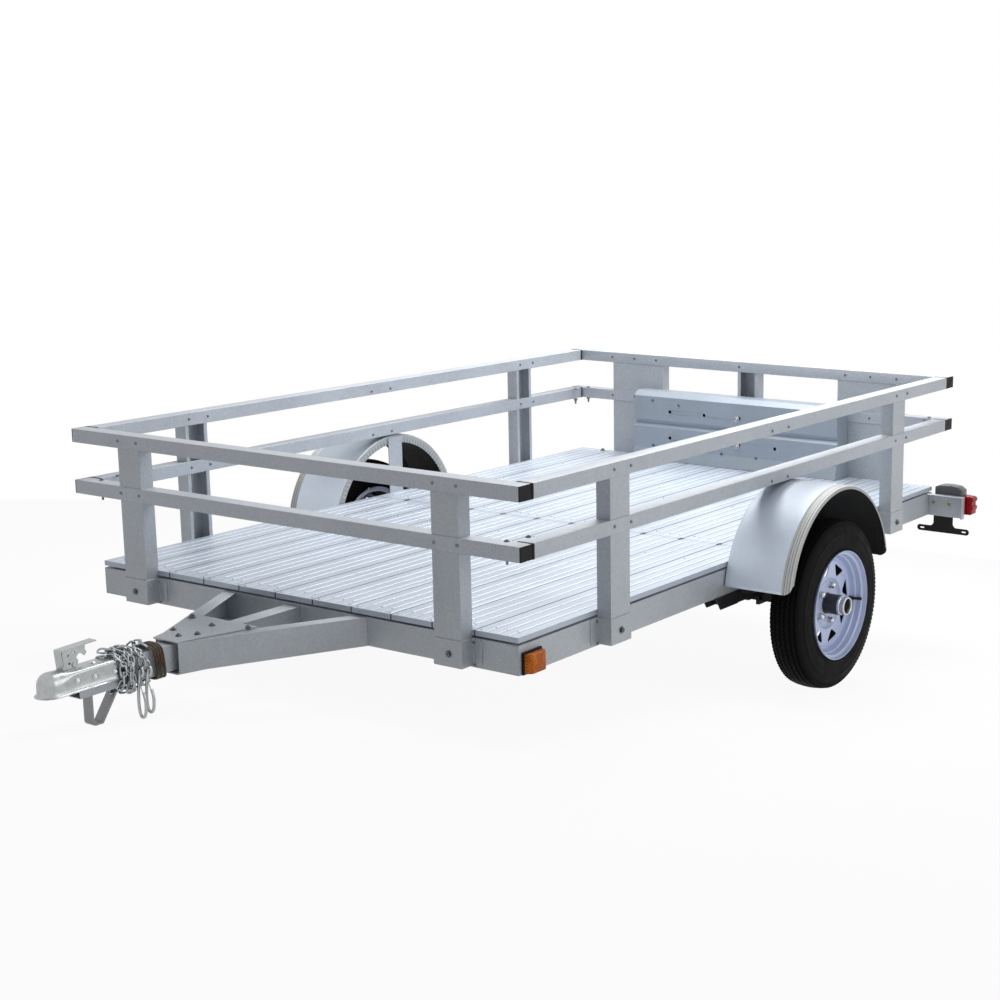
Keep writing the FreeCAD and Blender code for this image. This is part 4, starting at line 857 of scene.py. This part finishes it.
coupler = {
    "ball": Vector((0.766, 0, 0.386)), "sheet": 0.0032, "skirt": -0.0288,
    # behind the ball, half width, top, top corner, lip
    "sections": mm(
        (0, 31.2, 31.2, 30, 7), (20, 31, 30, 27, 7), (34, 30.4, 26.2, 19, 7),
        (48, 29.6, 23.6, 12, 7), (70, 29, 23, 8, 6.8), (110, 28.8, 23, 6.5, 6.2),
        (150, 28.8, 23, 6, 5), (176, 28.8, 23, 6, 2.6), (222, 28.8, 23, 6, 0.4)
    ),
    "sideBolts": [0.060, 0.112, 0.172], "boltDrop": [0.002, 0.005, 0.006],
}


def couplerProfile(half, top, corner, lip):
    # from the lip up the side and over to the middle: (height, distance out)
    low = coupler["skirt"]
    points = [
        (low, half + lip), (low + 0.0026, half + lip), (low + 0.0034, half + 0.0020 + lip * 0.1),
        (low + 0.0075, half + 0.0002), (low + 0.0200, half), (top - corner - 0.002, half),
    ]
    for angle in (0, 22, 45, 68, 90):
        turn = math.radians(angle)
        points.append((top - corner + corner * math.sin(turn), half - corner + corner * math.cos(turn)))
    points.append((top, (half - corner) * 0.5))
    points.append((top, 0))
    return points


def makeCoupler():
    ball = coupler["ball"]
    bm = bmesh.new()
    addLathe(bm, couplerProfile(*coupler["sections"][0][1:]), 24, ball, axis="z", start=-math.pi / 2,
             sweep=math.pi)
    chains = []
    for behind, *shape in coupler["sections"]:
        half = couplerProfile(*shape)
        across = [(z, y) for z, y in half] + [(z, -y) for z, y in reversed(half[:-1])]
        verts = [bm.verts.new(ball + Vector((-behind, y, z))) for z, y in across]
        chains.append([bm.edges.new(pair) for pair in zip(verts, verts[1:])])
    for first, second in zip(chains, chains[1:]):
        bmesh.ops.bridge_loops(bm, edges=first + second)
    bmesh.ops.remove_doubles(bm, verts=bm.verts, dist=2e-5)
    bmesh.ops.recalc_face_normals(bm, faces=bm.faces)
    upper = max(bm.faces, key=lambda face: face.calc_center_median().z)
    if upper.normal.z < 0:
        bmesh.ops.reverse_faces(bm, faces=bm.faces)
    # a stamped step along each side
    for vert in bm.verts:
        behind, height = ball.x - vert.co.x, vert.co.z - ball.z
        if 0.04 < behind < 0.2 and -0.02 < height < 0.012 and abs(vert.co.y) > 0.02:
            vert.co.y += math.copysign(0.0016, -vert.co.y)
    piece = finishPiece("couplerBody", bm, [couplerZinc], slot="zinc", replaces=["coupler"], smoothAngle=60)
    giveThickness(piece, coupler["sheet"])
    smooth = piece.modifiers.new("smooth", "SUBSURF")
    smooth.levels = smooth.render_levels = 1

    # bolts through the sides and the ball clamp's nut on top
    head = lathed("sideBolt", (mm((-2, 0), (-2, 7.6), (0.6, 7.6), (1.2, 7), (1.6, 5.8), (3, 5.4), (4.4, 3.6),
                                  (4.8, 0)), 20))
    parts = []
    for behind, drop in zip(coupler["sideBolts"], coupler["boltDrop"]):
        for side in (-1, 1):
            parts.append((head, facing((0, side, 0), ball + Vector((-behind, side * 0.0288, -drop)))))
    parts.append((head, facing((0, 0, 1), ball + Vector((-0.128, 0, 0.023)))))
    finishPiece("couplerBolts", joined(parts), [zincPlate], slot="zinc")


lever = {
    "top": 0.409, "width": 0.026, "sheet": 0.0028,
    "outline": mm(
        (34, 4), (29, 52), (100, 54.8), (98, 44), (104, 36), (96, 27.5), (88, 36.5), (78, 37), (72, 29),
        (78, 20), (72, 4)
    ),
    "strap": mm(
        (27.5, 49.5), (28, 53.5), (30, 55), (134, 58.8), (134, 55.6), (31, 51.8), (35, 4), (32, 4)
    ),
    "holes": [(0.048, 0.039), (0.066, 0.044), (0.051, 0.018)], "holeRadius": 0.0030,
}


def makeLever():
    front, top, half = coupler["ball"].x, lever["top"], lever["width"] / 2
    bm = bmesh.new()
    for side in (-1, 1):
        inner = side * (half - lever["sheet"])
        plate = bmesh.new()
        corners = addLoop(plate, [(front - behind, inner, top + above) for behind, above in lever["outline"]])
        ease(plate, corners, 0.0026, 3)
        for behind, above in lever["holes"]:
            bmesh.ops.create_circle(plate, cap_ends=False, segments=16, radius=lever["holeRadius"],
                                    matrix=standing((front - behind, inner, top + above)))
        fillSheet(plate, (0, side * lever["sheet"], 0))
        addMesh(bm, keep(plate, "leverSide"))
    # the folded top runs back as the handle, and the front is folded down
    addPlate(bm, [(front - behind, top + above) for behind, above in lever["strap"]], -half, half, "y")
    foot = [(front - 0.026, -0.016), (front - 0.026, 0.016), (front - 0.084, 0.016), (front - 0.084, -0.016)]
    addPlate(bm, foot, top - 0.0015, top + 0.0035, corner=0.004)
    pin = mm((-16.5, 0), (-16.5, 5.2), (-15, 6.2), (-13, 6.2), (-13, 3.5), (13, 3.5), (13, 6.2), (15, 6.2),
             (16.5, 5.2), (16.5, 0))
    addMesh(bm, lathed("leverPin", (pin, 18), axis="y"), Matrix.Translation((front - 0.064, 0, top + 0.012)))
    finishPiece("couplerLever", bm, [couplerZinc], slot="zinc", replaces=["coupler_latch"], bevel=0.0006)


# chains and hooks

chain = {
    "wire": 0.0027, "length": 0.034, "width": 0.0205, "halfWide": 0.0335, "halfHigh": 0.0435, "middle": 0.370,
    "wraps": [
        # x where it starts, x where it ends, turns, first angle, how far it stands off
        (0.592, 0.556, 2.30, 200, 0.0), (0.572, 0.530, 2.40, 120, 0.008), (0.552, 0.498, 2.30, 160, 0.005),
    ],
    "hooks": [(0.534, 0.0480), (0.515, 0.0560)], "hookLows": [0.2425, 0.2530], "hookTop": 0.372,
    "hookWire": 0.0040,
    # ahead, out, a share of the hook's height, and a length above that
    "hook": [
        (0.001, 0.006, 0.88), (0, 0.012, 0.96), (-0.001, 0.006, 1.04), (0, -0.002, 1.02), (0, -0.006, 0.84),
        (0, -0.011, 0.56), (0, -0.013, 0.30), (0, -0.009, 0.08), (0, 0.001, 0, 0.0038), (0, 0.011, 0.10),
        (0, 0.0145, 0.30), (0, 0.0125, 0.46), (0, 0.0070, 0.56),
    ],
    "keeper": [(0, -0.0085, 0.78), (0.001, 0, 0.66), (0.001, 0.0085, 0.50)],
}


def makeLink():
    # a ring of round wire, drawn out to a link
    bm = bmesh.new()
    bend, wire = chain["width"] / 2 - chain["wire"], chain["wire"]
    addLathe(bm, roundSection(wire, bend, 8), 16, axis="z", closed=True)
    stretch = (chain["length"] - chain["width"]) / 2
    for vert in bm.verts:
        if abs(vert.co.x) > 1e-5:
            vert.co.x += math.copysign(stretch, vert.co.x)
    return keep(outward(bm), "chainLink")


def alongPath(path, spacing):
    # places at equal steps along a line, each with its direction
    places, travelled, due = [], 0.0, 0.0
    for start, end in zip(path, path[1:]):
        piece = end - start
        while piece.length and travelled + piece.length >= due:
            places.append((start + piece * ((due - travelled) / piece.length), piece.normalized()))
            due += spacing
        travelled += piece.length
    return places


def makeChains():
    link = makeLink()
    parts = []
    for number, (first, last, turns, begin, stand) in enumerate(chain["wraps"]):
        route = []
        count = int(turns * 10)
        for index in range(count + 1):
            turn = math.radians(begin - 360 * turns * index / count)
            share = index / count
            off = stand + 0.006 * share + 0.004 * math.sin(index * 1.7 + number)
            y, z = math.cos(turn), math.sin(turn)
            squareY = math.copysign(abs(y) ** 0.6, y) * (chain["halfWide"] + off)
            squareZ = math.copysign(abs(z) ** 0.6, z) * (chain["halfHigh"] + off)
            x = first + (last - first) * share + 0.011 * math.sin(index * 0.9 + number * 2)
            route.append((x, squareY, chain["middle"] + squareZ))
        path = smoothLine(route)
        spacing = chain["length"] - 4 * chain["wire"] + 0.0006
        for index, (at, ahead) in enumerate(alongPath(path, spacing)):
            away = Vector((0, at.y, at.z - chain["middle"])).normalized()
            side = ahead.cross(away).normalized()
            up = side.cross(ahead)
            frameTurn = Matrix((ahead, side, up)).transposed().to_4x4()
            roll = math.radians(38 + 12 * math.sin(index * 2.1)) * (1 if index % 2 else -1)
            parts.append((link, Matrix.Translation(at) @ frameTurn @ Matrix.Rotation(roll, 4, "X")))
    finishPiece("safetyChains", joined(parts), [chainZinc], slot="zinc", replaces=["safety_chains"],
                smoothAngle=80)

    bm = bmesh.new()
    for number, (x, y) in enumerate(chain["hooks"]):
        low = chain["hookLows"][number]
        rise = chain["hookTop"] - low
        for points, radius in ((chain["hook"], chain["hookWire"]), (chain["keeper"], 0.0014)):
            line = [(x + ahead, y + out, low + up * rise + sum(more)) for ahead, out, up, *more in points]
            addMesh(bm, roundBar(line, radius))
    finishPiece("chainHooks", bm, [hookZinc], slot="zinc", smoothAngle=80)


makeCoupler()
makeLever()
makeChains()
print("coupler and chains made")


# lamps and the tail panel's trim

tailLamp = {
    "face": -2.465, "depth": 0.046, "rightDrop": 0.060,
    "housing": mm(
        (808.5, 344), (808.5, 437), (832, 444), (866, 445.5), (897, 442.5), (915, 431), (915, 344)
    ),
    "lens": mm(
        (912, 343), (944, 343), (949, 346), (950, 350), (950, 360), (954, 362.5), (954, 374),
        (949, 376.5), (949, 390), (954, 392.5), (954, 402), (951, 406), (944, 409), (912, 409)
    ),
    "ribs": [0.3560, 0.3740, 0.3920], "nuts": [(0.808, 0.377), (0.868, 0.3755)],
}


def makeCollars():
    # the side rails' black caps show as a band where they meet the end rails
    bm = bmesh.new()
    for side in (-1, 1):
        inner, outer = side * (level["halfBed"] - 0.0506), side * (level["halfBed"] + 0.0006)
        for low in (0.793, 0.640):
            for start, end in ((-0.0578, -0.0502), (-2.4898, -2.4822)):
                addPlate(bm, box(inner, low - 0.0006, outer, low + 0.0406), start, end, "x", corner=0.002)
    finishPiece("railCollars", bm, [blackPlastic], slot="black_plastic")


def makeTailLamps():
    face = tailLamp["face"] - 0.003
    back = face - tailLamp["depth"]
    for side in (1, -1):
        drop = Vector((0, 0, 0 if side > 0 else -tailLamp["rightDrop"]))
        name = sideOf(side).title()
        bm = bmesh.new()
        addPlate(bm, tailLamp["housing"], back, face, "x")
        ease(bm, bm.edges[:], 0.0045, 3, "EDGES", clamp=True)
        bmesh.ops.translate(bm, vec=drop, verts=bm.verts)
        finishPiece("lampHousing" + name, mirrorSide(bm, side), [housingPlastic], slot="black_plastic",
                    replaces=["tail_lamps"], smoothAngle=50)

        bm = bmesh.new()
        addPlate(bm, tailLamp["lens"], back - 0.004, face - 0.012, "x")
        addPlate(bm, box(0.8110, 0.3450, 0.9300, 0.4080), back - 0.0155, back + 0.004, "x", corner=0.009)
        for low in tailLamp["ribs"]:
            addPlate(bm, box(0.8100, low, 0.9240, low + 0.010), back - 0.0175, back - 0.0140, "x",
                     corner=0.003)
        bmesh.ops.translate(bm, vec=drop, verts=bm.verts)
        finishPiece("lampLens" + name, mirrorSide(bm, side), [redLens], slot="red_lens",
                    replaces=["tail_lenses"], bevel=0.0012)

        nut = makeHexBolt(0.0042, 0.0050, 0.0064, 0.0026)
        at = Vector((tailLamp["face"], 0, 0)) + drop
        parts = [(nut, facing((1, 0, 0), at + Vector((0, y, z)), y * 40)) for y, z in tailLamp["nuts"]]
        finishPiece("lampNuts" + name, mirrorSide(joined(parts), side), [brassZinc], slot="zinc")


plateArm = {
    "middle": 0.8445, "back": -2.4706, "sheet": 0.0020, "low": 0.269, "high": 0.291, "top": 0.341,
    "half": 0.102, "neck": 0.038, "flare": 0.009, "slot": (0.074, 0.090), "slotHigh": 0.0026,
}


def makePlateBracket():
    bm = bmesh.new()
    low, high, half, neck, flare = (plateArm[size] for size in ("low", "high", "half", "neck", "flare"))
    side = [(neck, plateArm["top"]), (neck, high + flare), (neck + flare, high), (half, high), (half, low)]
    centre, (slotStart, slotEnd), up = (low + high) / 2, plateArm["slot"], plateArm["slotHigh"]
    slot = [(slotStart, -up), (slotEnd, -up), (slotEnd, up), (slotStart, up)]
    loops = [side + [(-out, z) for out, z in reversed(side)]]
    loops += [[(turn * out, centre + up) for out, up in slot] for turn in (1, -1)]
    for index, loop in enumerate(loops):
        corners = addLoop(bm, [(plateArm["back"], plateArm["middle"] + out, z) for out, z in loop])
        if index:
            ease(bm, corners, 0.0024)
        else:
            ease(bm, corners[:3] + corners[7:], 0.0045)
            ease(bm, corners[3:7], 0.0105, 6)
    fillSheet(bm, (plateArm["sheet"], 0, 0))
    finishPiece("plateBracket", bm, [blackSteel], slot="black_steel", replaces=["plate_bracket"],
                bevel=0.0003)


panelTrim = {
    "face": -2.404,
    "pins": [(-0.380, 0.668), (-0.377, 0.490), (-0.258, 0.657), (-0.061, 0.484), (0.092, 0.482)],
    "rings": [(0.008, 0.624), (0.010, 0.520)], "ringWire": 0.0021, "ringRadius": 0.0095,
    "cups": [(y, z) for y in (-0.300, -0.142, 0.016, 0.174) for z in (0.524, 0.627)],
}


def onPanel(mesh, places, stand=0.0):
    return [(mesh, facing((1, 0, 0), Vector((panelTrim["face"] + stand, y, z)))) for y, z in places]


def makePanelTrim():
    parts = onPanel(makePanHead(0.0062, 0.0036), panelTrim["pins"])
    parts.append((makeHexBolt(), facing((0, 0, 1), Vector((-2.470, -0.670, level["deckTop"])))))
    finishPiece("panelPins", joined(parts), [boltZinc], slot="zinc")
    ring = bmesh.new()
    addLathe(ring, roundSection(panelTrim["ringWire"], panelTrim["ringRadius"], 6), 20, axis="z", closed=True)
    addLathe(ring, mm((-6, 0), (-6, 5.2), (1, 5.2), (2.6, 3.6), (2.6, 0)), 14, axis="z")
    parts = onPanel(keep(outward(ring), "pullRing"), panelTrim["rings"], 0.0045)
    finishPiece("pullRings", joined(parts), [zincPlate], slot="zinc", smoothAngle=80)

    # cups behind the panel's holes, in near-black painted shade
    cup = mm((-12, 0), (-12, 7), (-11, 8), (-3, 8.5), (-2.6, 9.5), (-2.3, 8.5), (-2.8, 6.8), (-10, 6.2),
             (-10.5, 0))
    cup = lathed("holeCup", (cup, 20))
    finishPiece("holeCups", joined(onPanel(cup, panelTrim["cups"])), [darkInside], slot="black_plastic")

    # a thin black strip along the panel's foot, painted shadow in the gap between the panel and the deck
    bm = bmesh.new()
    addPlate(bm, box(-0.273, 0.4312, 0.099, 0.4350), -2.4160, -2.4060, "x")
    finishPiece("panelFootShadow", bm, [blackPlastic], slot="black_plastic", bevel=0.0008)


makeCollars()
makeTailLamps()
makePlateBracket()
makePanelTrim()
print("lamps and panel trim made")


# carried-over solids

carried = {
    galvanisedDeck: ["deck_front", "deck_rear"],
    galvanised: [
        "side_beams", "front_beam", "rear_beam", "crossmembers", "front_posts", "side_posts",
        "rear_middle_post", "rear_corner_posts", "stake_pockets", "tail_brackets", "fender_brackets",
        "tongue_arms", "tongue_tube", "gusset_plates",
    ],
    panelSheet: ["tail_panel_lower", "tail_panel_upper"],
    galvanisedTube: ["front_rails", "rear_rails", "side_rails_front", "side_rails_rear"],
    strapSteel: ["tongue_stand"],
    blackSteel: ["axle", "leaf_springs", "spring_hangers", "axle_clamps"],
    blackPlastic: ["rail_end_caps", "side_marker_bases", "wiring_plug"],
    amberLens: ["side_marker_lenses"],
}
edgeWidths = {"deck_front": 0.0006, "deck_rear": 0.0006, "side_marker_lenses": 0.003}
for material, names in carried.items():
    for name in names:
        node = nodes[name]
        node.data.materials.clear()
        node.data.materials.append(material)
        node.modifiers.new("weld", "WELD").merge_threshold = 0.00002
        softenEdges(node, edgeWidths.get(name, 0.0012))
print("solids dressed")


# floor and light

studio = {
    "floorShade": 0.95, "floorGlow": 0.93, "plainFrom": 2.2, "plainTo": 4.5, "sky": (0.93, 0.96, 1),
    "ambient": 0.24,
    # place, target, size and power
    "overhead": ((-1.5, -0.05, 2.9), (-1.5, -0.05, 0.4), (3.2, 1.9), 120),
    "leftSoftbox": ((-1.2, 5.2, 1.9), (-1.0, 0, 0.4), (3.4, 2.4), 56),
}


def whiteSeen(nodes):
    # 1 for the rays that see plain white instead of the lit surface
    path = nodes.node("ShaderNodeLightPath", {}).socket.node
    kinds = ("Is Camera Ray", "Is Glossy Ray", "Is Transmission Ray")
    camera, glossy, through = [Value(nodes, path.outputs[kind]) for kind in kinds]
    return camera.math("MAXIMUM", glossy).math("MAXIMUM", through)


def addSurface(nodes, kind, lit, white, share):
    nodes.node(kind, {}, nodes.node("ShaderNodeMixShader", {}, share, lit, white))


def makeStage():
    bm = bmesh.new()
    bmesh.ops.create_grid(bm, x_segments=1, y_segments=1, size=60)
    floor = addObject("floor", keep(bm, "floor"))
    nodes = Nodes(bpy.data.materials.new("floor"))
    seen = whiteSeen(nodes)
    # far from the trailer the floor is plain white
    place = nodes.node("ShaderNodeTexCoord", {}, output="Object")
    reach = nodes.node("ShaderNodeVectorMath", {"operation": "LENGTH"}, place, output="Value")
    far = nodes.node("ShaderNodeMapRange", {}, reach, From_Min=studio["plainFrom"],
                     From_Max=studio["plainTo"])
    matt = nodes.node("ShaderNodeBsdfDiffuse", {}, (studio["floorShade"],) * 3)
    white = nodes.node("ShaderNodeEmission", {})
    share = (seen * studio["floorGlow"]).math("MAXIMUM", far * seen)
    addSurface(nodes, "ShaderNodeOutputMaterial", matt, white, share)
    floor.data.materials.append(nodes.owner)

    nodes = Nodes(bpy.data.worlds.new("studio"))
    bpy.context.scene.world = nodes.owner
    sky = nodes.node("ShaderNodeBackground", {}, studio["sky"], studio["ambient"])
    white = nodes.node("ShaderNodeBackground", {}, (1, 1, 1), 1)
    addSurface(nodes, "ShaderNodeOutputWorld", sky, white, whiteSeen(nodes))


def addLamp(name):
    at, target, size, power = studio[name]
    lamp = bpy.data.lights.new(name, "AREA")
    lamp.shape = "RECTANGLE"
    lamp.size, lamp.size_y = size
    lamp.energy = power
    addObject(name, lamp).matrix_world = facing(Vector(at) - Vector(target), at)


makeStage()
addLamp("overhead")
addLamp("leftSoftbox")
bpy.context.scene.view_settings.view_transform = "Standard"
